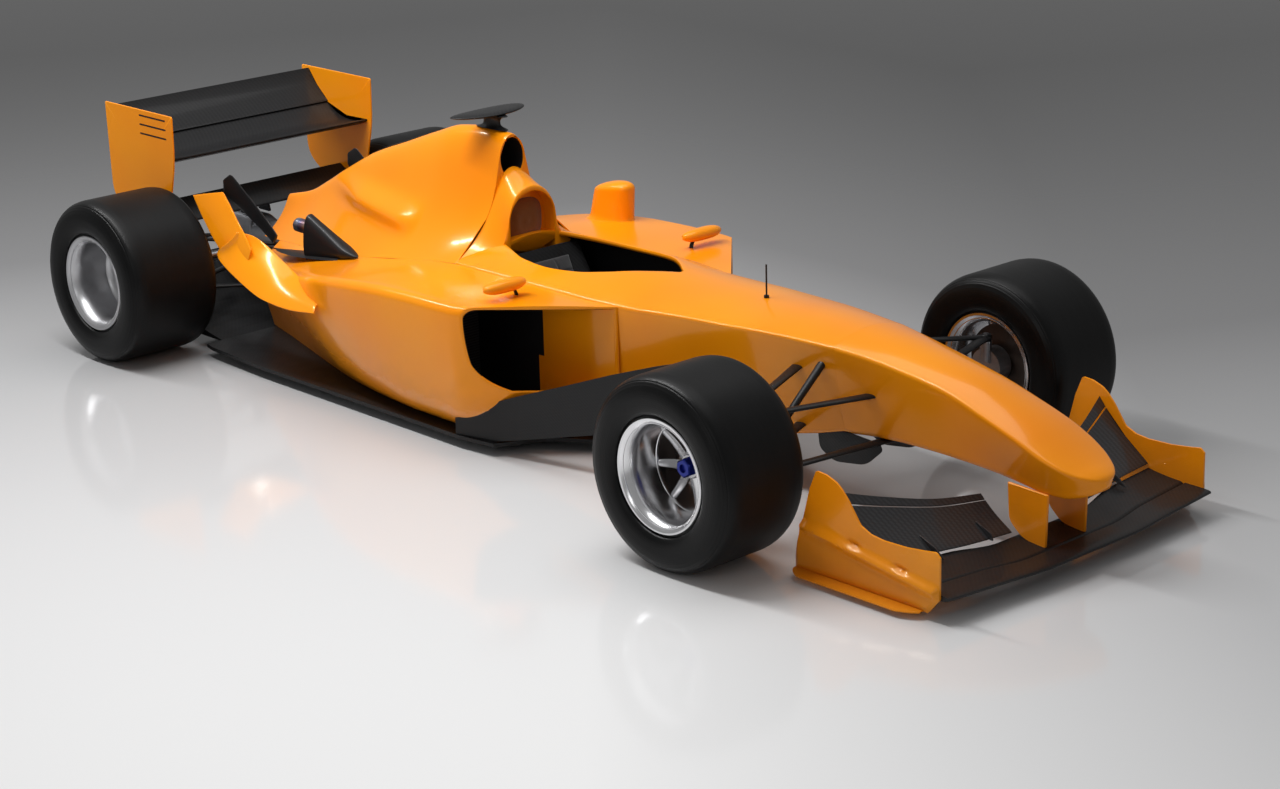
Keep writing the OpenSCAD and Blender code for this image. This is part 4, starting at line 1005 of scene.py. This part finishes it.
def buildSteeringWheel():
    # two moulded grips, a shaped plate between them with a display, buttons and rotary switches, and a hub
    g = grips
    t = np.linspace(-1, 1, 40)[:, None]
    a = turn(32)
    gx, gy, gz = g["grip"]
    swell = np.sqrt(np.clip(1 - np.abs(t) ** 7, 0, 1)) * (1 - 0.07 * np.cos(t * 9))
    side = np.stack([gx * t + 0 * a, g["gripY"] - 9 * t ** 2 + gy * swell * np.cos(a) * 0.96,
                     0.5 + gz * swell * np.sin(a) * 0.94], -1)
    parts = [capped(onColumn(side), 1), capped(onColumn(side * np.array([1, -1, 1])), 1)]
    px, py, pz = g["plate"]
    k = rounded(a, 3.4)
    share = np.array([0, 0.5, 0.93, 1, 1, 0.93, 0.5, 0])[:, None]
    depth = np.array([-pz, -pz, -pz, 3 - pz, pz - 3, pz, pz, pz])[:, None]
    oy = py * k * np.sin(a)
    ox = px * k * np.cos(a) * (1 - 0.30 * (np.abs(oy) / py) ** 2)
    parts.append(grid(onColumn(np.stack([ox * share, oy * share, depth + 0 * a], -1)), 0, wrapV=True))
    hub = np.array([[0.01, 12], [24, 12], [g["hub"], 14], [g["hub"], 38], [24, 40], [10.2, 40]])
    hubPoints = np.stack([hub[:, :1] * np.cos(a), hub[:, :1] * np.sin(a), hub[:, 1:] + 0 * a], -1)
    parts.append(grid(onColumn(hubPoints), 5, wrapV=True))
    screen = np.array([0, 0.9, 0.97, 1.0, 1.0])[:, None]
    rise = np.array([-15, -15, -14.6, -14, -12])[:, None]
    parts.append(grid(onColumn(np.stack([-16 + 20 * k * np.cos(a) * screen, 38 * k * np.sin(a) * screen,
                                         rise + 0 * a], -1)), 2, wrapV=True))
    for i in range(3):
        for way in (-1, 1):
            parts.append(knob(-30 + 22 * i, way * (58 + 5 * i % 2), 5.5, -12, -16, 3 + (i + (way > 0)) % 2))
    for across in (-30, 0, 30):
        parts.append(knob(24, across, 9, -12, -18, 1))
    for way in (-1, 1):  # gear paddles behind the plate
        u = np.linspace(0, 1, 12)[:, None]
        v = np.linspace(-1, 1, 9)[None]
        parts.append(grid(onColumn(np.stack([-8 + 20 * v * (1 - 0.3 * u), way * (30 + 62 * u) + 0 * v,
                                             16 + 3 * u + 0 * v], -1)), 0))
    meshPiece("steeringWheelGrips", parts, "steering_wheel", "grip_black",
              [carbon, gripRubber, screenBlack, buttonRed, buttonBlue, steel], replaces=["steering_wheel"])


gearCase = {  # x, half width, bottom, top, sharpness of the section
    "table": [[-930, 124, 52, 398, 6], [-980, 122, 52, 398, 5], [-1040, 112, 56, 392, 4],
              [-1300, 104, 60, 378, 3.4],
              [-1560, 100, 62, 370, 3.2], [-1640, 100, 82, 370, 3.2], [-1850, 104, 150, 370, 3.2],
              [-1960, 92, 190, 369, 3.2], [-2000, 60, 250, 398, 4], [-2120, 54, 280, 398, 4],
              [-2238, 40, 292, 368, 4]],
    "ribs": [-1120, -1260, -1400, -1540, -1700, -1790], "jack": 12,
}


def buildGearbox():
    # casting: superellipse sections, ribs swelling it by a few millimetres, flange with a row of bolts
    g = gearCase
    table = np.array(g["table"], float)[::-1]
    x = np.linspace(table[0, 0], table[-1, 0], 240)
    half, low, top, sharp = (c[:, None] for c in monotone(table[:, 0], table[:, 1:], x))
    a = turn(72)
    k = rounded(a, sharp)
    rib = sum(np.exp(-((x - at) / 6) ** 4) for at in g["ribs"])[:, None] * 6
    rib = rib + 5 * np.exp(-((x + 936) / 12) ** 4)[:, None]
    y = (half + rib) * k * np.cos(a)
    z = (low + top) / 2 + ((top - low) / 2) * k * np.sin(a)
    body = np.stack([x[:, None] + 0 * a, y, z], -1)
    mouth = np.array([[0.01, -2202], [g["jack"], -2202], [g["jack"], -2238]])
    hole = np.stack([mouth[:, 1:] + 0 * a, mouth[:, :1] * np.cos(a), 330 + mouth[:, :1] * np.sin(a)], -1)
    parts = [grid(np.concatenate([hole, body, body[-1:] * np.array([1, 0, 1])]) * mm, 0, wrapV=True)]
    for way in (-1, 1):
        for level in (90, 150, 210, 270, 330):
            b = np.linspace(0, 2 * np.pi, 6, endpoint=False)[:, None]
            r = np.array([7, 7, 5, 0.01])[None]
            d = np.array([-950, -961, -963, -963])[None]
            parts.append(grid(xyz(d, way * 116 + r * np.cos(b), level + r * np.sin(b)), 1,
                              wrapU=True))
    parts.append(capped(lampBody() * mm, 2))
    meshPiece("gearboxCasting", parts, "chassis", "cast_metal", [castAlloy, steel, lampRed], replaces=["gearbox"])


def lampBody():
    # rain lamp: rounded block behind the crash structure, above the jack socket
    a = turn(32)
    k = rounded(a, 5)
    share = np.array([1, 1, 0.94, 0.8])[:, None]
    x = np.array([-2130, -2250, -2254, -2256])[:, None]
    return np.stack([x + 0 * a, 32 * k * np.cos(a) * share, 398 + 22 * k * np.sin(a) * share], -1)


buildSeat()
buildSteeringWheel()
buildGearbox()
print("cockpit and gearbox made")


wings = {
    "frontX": 2245, "frontZ": 78, "frontHalf": 632,
    # share of the half span, leading edge x, z, trailing edge x, z, thickness, sag
    "plane": [[0, 30, -10, -190, 10, 30, 12], [0.30, 30, -10, -190, 10, 30, 12],
              [0.62, 14, -6, -230, 22, 30, 12], [1, 0, 2, -250, 26, 28, 10]],
    "flap": [[0.2, -190, 25, -315, 122, 13, 8], [0.45, -208, 28, -345, 140, 13, 10],
             [0.75, -238, 36, -400, 182, 13, 12], [1, -252, 40, -455, 226, 13, 14]],
    "slot": (0.41, 0.425),  # where the main plane's chord is cut by its own gap
    "tab": 0.84,  # where the flap's chord is cut by its rear gap
    "rearHalf": 480.7,
    "main": (-1885, 724, -2160, 766, 26, 42), "upper": (-2150, 766, -2272, 892, 14, 12),
    "beam": (-1935, 452, -2090, 512, 18, 14),
}


def foil(y, x0, z0, x1, z1, thick, belly, part=(0, 1), n=26):
    # wing section: depth thick 2.6 (sqrt s - s) about a chord that sags by 4 belly s (1 - s)
    rows = np.array([y, x0, z0, x1, z1, thick, belly], float)
    y, x0, z0, x1, z1, thick, belly = rows[:, :, None]
    share = part[0] + (part[1] - part[0]) * (1 - np.cos(np.linspace(0, np.pi, n))) / 2
    s = np.concatenate([share, share[::-1][1:-1]])[None]
    k = np.concatenate([-np.ones(n), np.ones(n - 2)])[None]
    first = (s - part[0]) / (part[1] - part[0])
    nose = np.sqrt(np.clip(first * 12, 0, 1)) if part[0] > 0 else 1.0
    c = np.hypot(x1 - x0, z1 - z0)
    ux, uz = (x1 - x0) / c, (z1 - z0) / c
    m = -belly * 4 * s * (1 - s)
    h = (thick * 2.6 * (np.sqrt(s) - s) + 1.6) * nose * k / 2
    return xyz(x0 + ux * c * s + uz * (m + h), y, z0 + uz * c * s - ux * (m + h))


def spanwise(table, steps):
    # stations across the span, with the table's columns carried smoothly between its rows
    share = np.linspace(table[0][0], table[-1][0], steps)
    return share, along(table, share)


def buildFrontWing():
    w = wings
    X, Z, half = w["frontX"], w["frontZ"], w["frontHalf"]
    share, (x0, z0, x1, z1, th, sag) = spanwise(w["plane"], 44)
    # main plane in two parts with a slot between them, each running through from tip to tip
    parts = []
    for part in ((0, w["slot"][0]), (w["slot"][1], 1)):
        right = foil(share * half, X + x0, Z + z0, X + x1, Z + z1, th, sag, part)
        parts.append(capped(np.concatenate([(right * np.array([1, -1, 1]))[::-1], right[1:]])))
    meshPiece("frontWingPlane", parts, "chassis", "carbon_black", [carbon], replaces=["front_wing"])
    share, (x0, z0, x1, z1, th, sag) = spanwise(w["flap"], 36)
    # flaps with a narrow gap near the trailing edge, and two hangers each
    args = (share * half, X + x0, Z + z0, X + x1, Z + z1, th, sag)
    parts = [capped(foil(*args, part=(0, w["tab"]))), capped(foil(*args, part=(w["tab"] + 0.02, 1)))]
    for at in (0.34, 0.69):
        cols = [float(c[0]) for c in along(w["flap"], [at])]
        atX, atZ = X + cols[0], Z + cols[1]
        outline = arcs([[X - 185, Z + 22], [atX - 40, atZ + 8], [atX - 60, atZ + 46], [atX + 6, atZ + 20]], 8)
        parts += plate(outline, at * half, 5)
    meshPiece("frontWingFlaps", parts + mirrored(parts), "chassis", "flap_grey", [flapCarbon],
              replaces=["front_wing_flaps"])


def plate(outline, y, t, mat=0, dome=0.0, edge=1.2):
    # flat plate in the XZ plane: nested copies of the outline run in to the middle, its rim is rounded
    p = np.asarray(outline, float)
    centre = p.mean(axis=0)
    size = np.abs(p - centre).max()
    k = np.array([0, 0.5, 1 - edge / size, 1, 1, 1 - edge / size, 0.5, 0])
    h = np.array([0, 0, 0, edge, t - edge, t, t, t])
    d = dome * np.array([1, 0.6, 0, 0, 0, 0, 0.6, 1]) * np.array([-1] * 4 + [1] * 4)
    pts = centre + (p - centre)[None] * k[:, None, None]
    yy = y + h[:, None] + d[:, None] + 0 * pts[..., 0]
    return [grid(xyz(pts[..., 0], yy, pts[..., 1]), mat, wrapV=True)]


endplate = {
    # x and height of the upper edge and of the lower edge
    "upper": [[1627, 40], [1641, 111], [1655, 160], [1690, 290], [1718, 356], [1760, 352], [1800, 338],
              [1822, 322], [1849, 293], [1898, 226], [1940, 208], [1990, 202], [2080, 204], [2150, 212],
              [2196, 219], [2212, 205]],
    "lower": [[1627, 30], [1634, 22], [2168, 22], [2212, 74]],
    "y": 632.3, "thick": 7, "footWidth": 62,
}


def buildEndplates():
    # face on a grid: heights from the lower to the upper edge at each x, pressed outwards along a ridge
    e = endplate
    y = e["y"]
    order = np.linspace(1632, 2212, 90)
    top = np.interp(order, *zip(*e["upper"]))
    low = np.interp(order, *zip(*e["lower"]))
    v = np.linspace(0, 1, 40)[None]
    z = low[:, None] + (top - low)[:, None] * v
    x = order[:, None] + 0 * v
    run = (x - 1627) / 589
    ridge = 178 - 86 * run
    swell = 15 * np.exp(-((z - ridge) / 15) ** 2) + 9 / (1 + np.exp((z - ridge) / 9))
    rim = np.minimum(np.minimum(z - low[:, None], top[:, None] - z), np.minimum(x - 1630, 2214 - x)) / 16
    swell = swell * np.clip(rim, 0, 1)
    for at in (0.42, 0.74):  # two small intakes behind the ridge
        swell -= 13 * np.exp(-((run - at) / 0.045) ** 2 - ((z - ridge - 17) / 7) ** 2)
    outside = np.stack([x, y + e["thick"] + swell, z], -1)
    inside = np.stack([x, y + 0 * x, z], -1)
    loop = np.concatenate([outside, inside[:, ::-1]], axis=1)
    parts = [capped(loop * mm)]
    # footplate: a thin shelf that curls down at its outer edge
    u = np.linspace(0, 1, 40)[:, None]
    w = np.linspace(0, 1, 14)[None]
    fx = 1634 + (2150 - 1634) * u + 0 * w
    fy = y + 4 + (e["footWidth"] - 4) * w * np.sqrt(np.clip(np.minimum(u * 9 + 0.12, (1 - u) * 7 + 0.12), 0, 1))
    fz = 27.5 - 3.5 * w ** 3 + 0 * u
    shelf = np.concatenate([xyz(fx, fy, fz), xyz(fx, fy, fz - 5.5 + 2 * w)[:, ::-1]], axis=1)
    parts.append(capped(shelf))
    meshPiece("frontEndplates", parts + mirrored(parts), "chassis", "body_orange", [orange], sharp=32,
              replaces=["front_wing_endplates"])


def buildRearWing():
    # straight foils across the span, a lower beam on two struts, and side plates with louvres
    w = wings
    span = np.linspace(-1, 1, 24) * w["rearHalf"]
    for name, key, node in (("rearWingPlane", "main", "rear_wing"),
                            ("rearWingFlap", "upper", "rear_wing_flap")):
        cols = [np.full(24, q) for q in w[key]]
        meshPiece(name, [capped(foil(span, *cols))], "chassis", "carbon_black", [carbon], replaces=[node])
    parts = [capped(foil(span, *[np.full(24, q) for q in w["beam"]]))]
    strut = arcs([[-1990, 402], [-2070, 402], [-2080, 496], [-2010, 470]], 10)
    side = plate(strut, 40, 8)
    meshPiece("beamWing", parts + side + mirrored(side), "chassis", "carbon_black", [carbon],
              replaces=["beam_wing"])
    outline = arcs([[-1855, 900], [-1860, 710], [-1890, 600], [-1930, 436], [-2180, 436], [-2310, 520],
                    [-2320, 896], [-2316, 900]], [10, 60, 60, 16, 60, 60, 2, 2], 8)
    parts = plate(outline, 481, 7)
    for level in (806, 842, 878):  # louvres near the top, one under the other
        slot = arcs([[-1900, level - 3], [-2080, level - 3], [-2080, level + 3], [-1900, level + 3]], 3)
        parts += plate(slot, 487.4, 1.2, 1, edge=0.4)
    meshPiece("rearEndplates", parts + mirrored(parts), "chassis", "body_orange", [orange, innerCarbon],
              replaces=["rear_wing_endplates"])


def buildPylons():
    # pylons: plates with rounded rims, thinned towards the front wing
    outline = arcs([[2012, 252], [2172, 246], [2166, 70], [2110, 76], [2070, 86], [2020, 130]],
                   [4, 4, 10, 20, 20, 20])
    parts = plate(outline, 90, 10, edge=3)
    meshPiece("nosePylons", parts + mirrored(parts), "chassis", "body_orange", [orange],
              replaces=["nose_pylons"])


arms = {  # outer end x, y, z and inner end x, y, z, depth and thickness of the section
    "front": [[1330, 600, 420, 1480, 116, 418, 48, 15], [1330, 600, 420, 1185, 148, 470, 48, 15],
              [1330, 600, 215, 1500, 58, 262, 48, 15], [1330, 600, 215, 1160, 98, 262, 48, 15],
              [1330, 550, 215, 1290, 128, 520, 34, 22]],
    "rear": [[-1866, 484, 420, -1700, 122, 350, 44, 15], [-1874, 484, 420, -1960, 122, 350, 44, 15],
             [-1866, 484, 215, -1650, 122, 200, 44, 15], [-1874, 484, 215, -1980, 122, 235, 44, 15]],
    "eye": 19, "eyeHigh": 22,
}


def armBar(row):
    # bar between two ends: lens section whose long side lies along X, fuller at its front
    a, b = np.array(row[:3], float), np.array(row[3:6], float)
    t = np.linspace(0, 1, 14)[:, None, None]
    v = np.linspace(0, 2 * np.pi, 24, endpoint=False)[None, :, None]
    swell = 1 - 0.22 * np.sin(np.pi * t)
    long = np.array([1.0, 0, 0])
    up = np.cross(b - a, long)
    up = up / np.linalg.norm(up) * np.sign(up[2])
    section = long * row[6] / 2 * swell * (np.cos(v) + 0.12 * np.sin(v) ** 2) + up * row[7] / 2 * np.sin(v)
    return capped((a + (b - a) * t + section) * mm)


def buildSuspension():
    # streamlined arms, and at the front a turned eye where each pair meets
    ends = [armBar(row) for row in arms["front"]]
    h, r = arms["eyeHigh"] / 2, arms["eye"]
    profile = np.array([[10.2, -h], [r - 2, -h], [r, 2 - h], [r, h - 2], [r - 2, h], [10.2, h]])
    v = turn(36)
    for level in (420, 215):
        eye = xyz(1330 + profile[:, :1] * np.cos(v), 600 + profile[:, :1] * np.sin(v), level + profile[:, 1:])
        ends.append(grid(np.concatenate([eye, eye[:1]]), 0, wrapV=True))
    for name, parts, node in (("frontArms", ends, "front_suspension"),
                              ("rearArms", [armBar(row) for row in arms["rear"]], "rear_suspension")):
        meshPiece(name, parts + mirrored(parts), "chassis", "carbon_black", [carbon], replaces=[node])


keel = {"outline": [[1228, 256], [1330, 268], [1500, 258], [1512, 236], [1440, 172], [1300, 152], [1236, 186]],
        "y": 112, "thick": 6}


def buildKeelVanes():
    # a pair of turning vanes under the nose, bellied outwards
    parts = plate(arcs(keel["outline"], [6, 20, 8, 14, 30, 30, 20], 6), keel["y"], keel["thick"], dome=6)
    meshPiece("keelVanes", parts + mirrored(parts), "chassis", "carbon_black", [carbon])


buildSuspension()
buildKeelVanes()
buildFrontWing()
buildEndplates()
buildRearWing()
buildPylons()
print("wings made")


wheel = {
    "bead": 165, "radius": 316, "frontWidth": 356, "rearWidth": 395, "frontY": 763, "rearY": 707.5,
    "side": [[0, 22.8], [0.16, 22.8], [0.19, 14], [0.26, 6], [0.34, 2.5], [0.42, 0.8], [0.55, 0.0], [0.7, 2.5],
             [0.80, 8], [0.86, 13], [0.885, 17.5], [0.91, 20], [0.955, 30], [0.985, 44], [1, 62]],
}


def buildTyre(name, axleX, wheelY, width, side, rubber, node, body):
    # sidewall curve through a few points, two raised rings on the shoulder, and a flat tread
    w = wheel
    table = np.array(w["side"], float)
    arc = np.linspace(0, 1, len(table))
    r, inn = monotone(arc, table, np.linspace(0, 1, 64))
    radius = w["bead"] + 0.4 + (w["radius"] - w["bead"] - 0.4) * r
    for place in (0.80, 0.875):
        ridge = 1.3 * np.exp(-((r - place) / 0.006) ** 2)
        inn = inn - ridge * 0.8
        radius = radius + ridge * 0.4
    outerSide = np.stack([radius, width / 2 - inn], -1)
    tread = np.linspace(width / 2 - 62, 62 - width / 2, 24)[1:-1]
    top = np.stack([w["radius"] + 0 * tread, tread], -1)
    innerSide = (outerSide * np.array([1, -1]))[::-1]
    lining = np.array([[w["bead"] + 0.4, 40 - width / 2], [w["bead"] + 0.4, width / 2 - 40]])
    profile = np.concatenate([outerSide, top, innerSide, lining, outerSide[:1]]) * mm
    meshPiece(name, [revolve(profile, axleX, wheelY * mm, side, steps=144)], body, "tyre_rubber", [rubber],
              sharp=60, replaces=[node])


def barrelProfile(width):
    # rim bed outside, bright inner barrel inside, rolled flanges at both edges
    b, h = wheel["bead"], width / 2
    return np.array([[b + 12, h - 14.5], [b + 18, h - 14.5], [b + 20, h - 17], [b + 20, h - 22.5], [b, h - 22.5],
                     [b, h - 50], [b - 10, h - 70], [b - 10, 70 - h], [b, 50 - h], [b, 22.5 - h],
                     [b + 20, 22.5 - h], [b + 20, 15 - h], [b + 12, 15 - h], [b + 6, 20 - h], [b - 8, 30 - h],
                     [b - 14, 44 - h], [b - 17, 72 - h], [b - 17, h - 72], [b - 16, h - 56], [b - 9, h - 34],
                     [b + 2, h - 22], [b + 9, h - 16], [b + 12, h - 14.5]]) * mm


def bladeAround(count, inner, outer, face, axleX, wheelY, side, mat, halfIn, halfOut, deep, twist=0.0):
    # spokes: rounded bars from radius inner to outer, half width halfIn to halfOut, bowed inwards,
    # copied round the hub by turning every point through 2 pi i / count
    t = np.linspace(0, 1, 12)[:, None]
    a = turn(12)
    k = rounded(a, 3)
    half = halfIn + (halfOut - halfIn) * t ** 1.5
    r = inner + (outer - inner) * t + 0 * a
    c = half * k * np.cos(a)
    w = face - deep / 2 - 6 * np.sin(np.pi * t) + deep / 2 * k * np.sin(a) + twist * c
    parts = []
    for i in range(count):
        at = 2 * math.pi * i / count + 0.17
        px = r * math.cos(at) - c * math.sin(at)
        pz = r * math.sin(at) + c * math.cos(at)
        pts = np.stack([axleX + px * mm, side * (wheelY + w * mm), axleHeight + pz * mm], -1)
        parts.append(capped(pts, mat))
    return parts


def ring(points, axleX, wheelY, side, mat, steps=72):
    # a profile of radius and offset from the wheel's middle, turned about the axle
    return revolve(np.array(points, float) * mm, axleX, wheelY * mm, side, mat, steps)


def wheelNut(x, y, side, rows, face):
    # six-sided nut: radius, height over the face and how far the six flats show, from 1 to 0; the flats
    # lie at 1 / cos of the angle from the middle of each flat
    a = turn(72).T
    flats = 1 / np.cos(((a + np.pi / 6) % (np.pi / 3)) - np.pi / 6)
    radius, high, six = (np.array(column, float)[None] for column in zip(*rows))
    r = radius * (1 + (flats - 1.07) * six)
    points = np.stack([x + r * np.cos(a) * mm, side * (y + face + high + 0 * a) * mm,
                       axleHeight + r * np.sin(a) * mm], -1)
    return grid(points, 1, wrapU=True)


def buildFrontWheel(name, side, node, body):
    # barrel, eight spokes from a hub, a nut, a brake disc inside the barrel and the hub's stub
    w = wheel
    x, y, width = axleFront, w["frontY"], w["frontWidth"]
    face = width / 2 - 150
    hubIn = -width / 2 + 87
    parts = [revolve(barrelProfile(width), x, y * mm, side, 0, 120)]
    parts += bladeAround(8, 34, 149, face, x, y * mm, side, 0, 17, 12, 20)
    parts.append(ring([[0.01, hubIn], [42, hubIn], [42, face - 12], [40, face - 2], [36, face + 4],
                       [0.01, face + 4]], x, y, side, 0))
    parts.append(ring([[149, face + 6], [146, face + 4], [145, face - 2], [149, face - 8]], x, y, side, 0, 96))
    parts.append(wheelNut(x, y, side, [(30, 2, 1), (30, 24, 1), (28, 29, 0.9), (25, 32, 0.5), (14, 32, 0),
                                       (12, 22, 0), (0.01, 22, 0)], face))
    parts.append(ring([[44, hubIn + 6], [130, hubIn + 6], [131, hubIn + 9], [131, hubIn + 20], [130, hubIn + 23],
                       [44, hubIn + 23]], x, y, side, 2, 96))
    parts.append(ring([[0.01, hubIn - 72], [25, hubIn - 72], [25, hubIn + 2]], x, y, side, 3))
    meshPiece(name, parts, body, "rim_silver", [frontAlloy, nutBlue, discMaterial, steel], sharp=34,
              replaces=[node])


def buildRearWheel(name, side, node, body):
    # barrel, a dished disc with a rolled edge and five round dimples in it, a nut and the hub's stub
    w = wheel
    x, y, width = axleRear, w["rearY"], w["rearWidth"]
    face = width / 2 - 185
    out = 480 + 70 - y
    parts = [revolve(barrelProfile(width), x, y * mm, side, 0, 120)]
    parts.append(ring([[0.01, face + 3], [34, face + 3], [46, face + 1], [58, face - 4], [110, face - 6],
                       [132, face - 2], [144, face + 6], [149, face + 16], [149, face - 14], [60, face - 14],
                       [44, face - 14], [44, out + 8], [0.01, out + 8]], x, y, side, 0, 120))
    for i in range(5):
        at = 2 * math.pi * i / 5 + 0.3
        cx, cz = 90 * math.cos(at), 90 * math.sin(at)
        a = turn(20).T
        rr = np.array([13, 11.5, 10, 0.01])[None]
        ww = face - np.array([4.6, 4.0, 5, 5])[None]
        pts = np.stack([x + (cx + rr * np.cos(a)) * mm, side * (y + ww + 0 * a) * mm,
                        axleHeight + (cz + rr * np.sin(a)) * mm], -1)
        parts.append(grid(pts, 3, wrapU=True))
    parts.append(wheelNut(x, y, side, [(30, 0, 1), (30, 20, 1), (27, 26, 0.8), (22, 29, 0.3), (13, 29, 0),
                                       (0.01, 18, 0)], face))
    parts.append(ring([[0.01, out - 78], [25, out - 78], [25, out + 10]], x, y, side, 2))
    meshPiece(name, parts, body, "rim_grey", [rearAlloy, castAlloy, steel, innerCarbon], sharp=34,
              replaces=[node])


for sideName, side in (("left", 1), ("right", -1)):
    title = sideName.capitalize()
    buildTyre("frontTyre" + title, axleFront, wheel["frontY"], wheel["frontWidth"], side, frontRubber,
              "front_tyre_" + sideName, "front_wheel_" + sideName)
    buildTyre("rearTyre" + title, axleRear, wheel["rearY"], wheel["rearWidth"], side, rearRubber,
              "rear_tyre_" + sideName, "rear_wheel_" + sideName)
    buildFrontWheel("frontWheel" + title, side, "front_rim_" + sideName, "front_wheel_" + sideName)
    buildRearWheel("rearWheel" + title, side, "rear_rim_" + sideName, "rear_wheel_" + sideName)
print("wheels made")


finishes = {
    carbon: ["antenna", "dash_bulkhead", "floor_plate", "diffuser", "bargeboards"],
    castAlloy: ["engine"],
    radiatorFins: ["radiators"],
    steel: ["front_upright_left", "front_upright_right", "rear_uprights", "driveshaft_left",
            "driveshaft_right"],
}
for material, nodes in finishes.items():
    for node in nodes:
        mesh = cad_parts[node].data
        mesh.materials.clear()
        mesh.materials.append(material)


stage = {
    "floorSize": 60.0, "world": 0.30,
    # floor colours for the painted falloff of light, from the lit near corner to the shaded far side
    "paintedFalloffTones": [(0.0, srgb(253, 253, 253)), (0.29, srgb(196, 196, 197)), (0.55, srgb(122, 122, 123)),
              (1.0, srgb(38, 38, 39))],
    # name, place, aim, size, power
    "lamps": [("ridgeLamp", (-2.4, -1.8, 4.8), (-2.4, 0.0, 0.4), (6.0, 0.28), 260),
              ("topLamp", (-0.5, 0.4, 7.0), (0, 0, 0.4), (7.0, 5.0), 225),
              ("sideLamp", (3.5, -8.0, 4.0), (0.2, 0, 0.3), (3.0, 2.0), 30)],
}


def buildStage():
    # pale floor with painted light: its colour darkens smoothly away from the camera's side, as light falls off,
    # with a soft polish, and the lamps
    half = stage["floorSize"]
    points = np.array([[-half, -half, 0], [half, -half, 0], [half, half, 0], [-half, half, 0]], float)
    mesh = bpy.data.meshes.new("floor")
    mesh.from_pydata(points.tolist(), [], [[0, 1, 2, 3]])
    s = Shader("polishedFloorPaintedLight", Metallic=0.0, IOR=1.45)
    x, y, _ = s.xyz()
    # painted light: the colour falls off with distance from the near corner and towards the camera's right
    depth = (y * 0.42 - x * 0.97 + 3.1) / 11.4  # metres away from the near corner, as a share
    across = ((x * 0.677 + y * 0.736) * 0.5).clip() * 0.27  # darker towards the camera's right
    colour = s.ramp((depth + across).clip(), *stage["paintedFalloffTones"])
    s.feed(Base_Color=colour, Roughness=0.08 + s.noise(1.5, 2.0) * 0.04)
    mesh.materials.append(s.material)
    floor = bpy.data.objects.new("floor", mesh)
    bpy.context.scene.collection.objects.link(floor)
    world = bpy.data.worlds.new("softSky")
    world.use_nodes = True
    sky = world.node_tree.nodes["Background"]
    sky.inputs["Color"].default_value = (1.0, 1.0, 1.0, 1.0)
    sky.inputs["Strength"].default_value = stage["world"]
    bpy.context.scene.world = world
    for name, place, aim, size, power in stage["lamps"]:
        data = bpy.data.lights.new(name, "AREA")
        data.shape = "RECTANGLE"
        data.energy, data.size, data.size_y = power, size[0], size[1]
        lamp = bpy.data.objects.new(name, data)
        lamp.location = place
        lamp.rotation_euler = (Vector(aim) - Vector(place)).to_track_quat("-Z", "Y").to_euler()
        bpy.context.scene.collection.objects.link(lamp)


buildStage()
bpy.context.scene.view_settings.view_transform = "Standard"
print("stage lit")
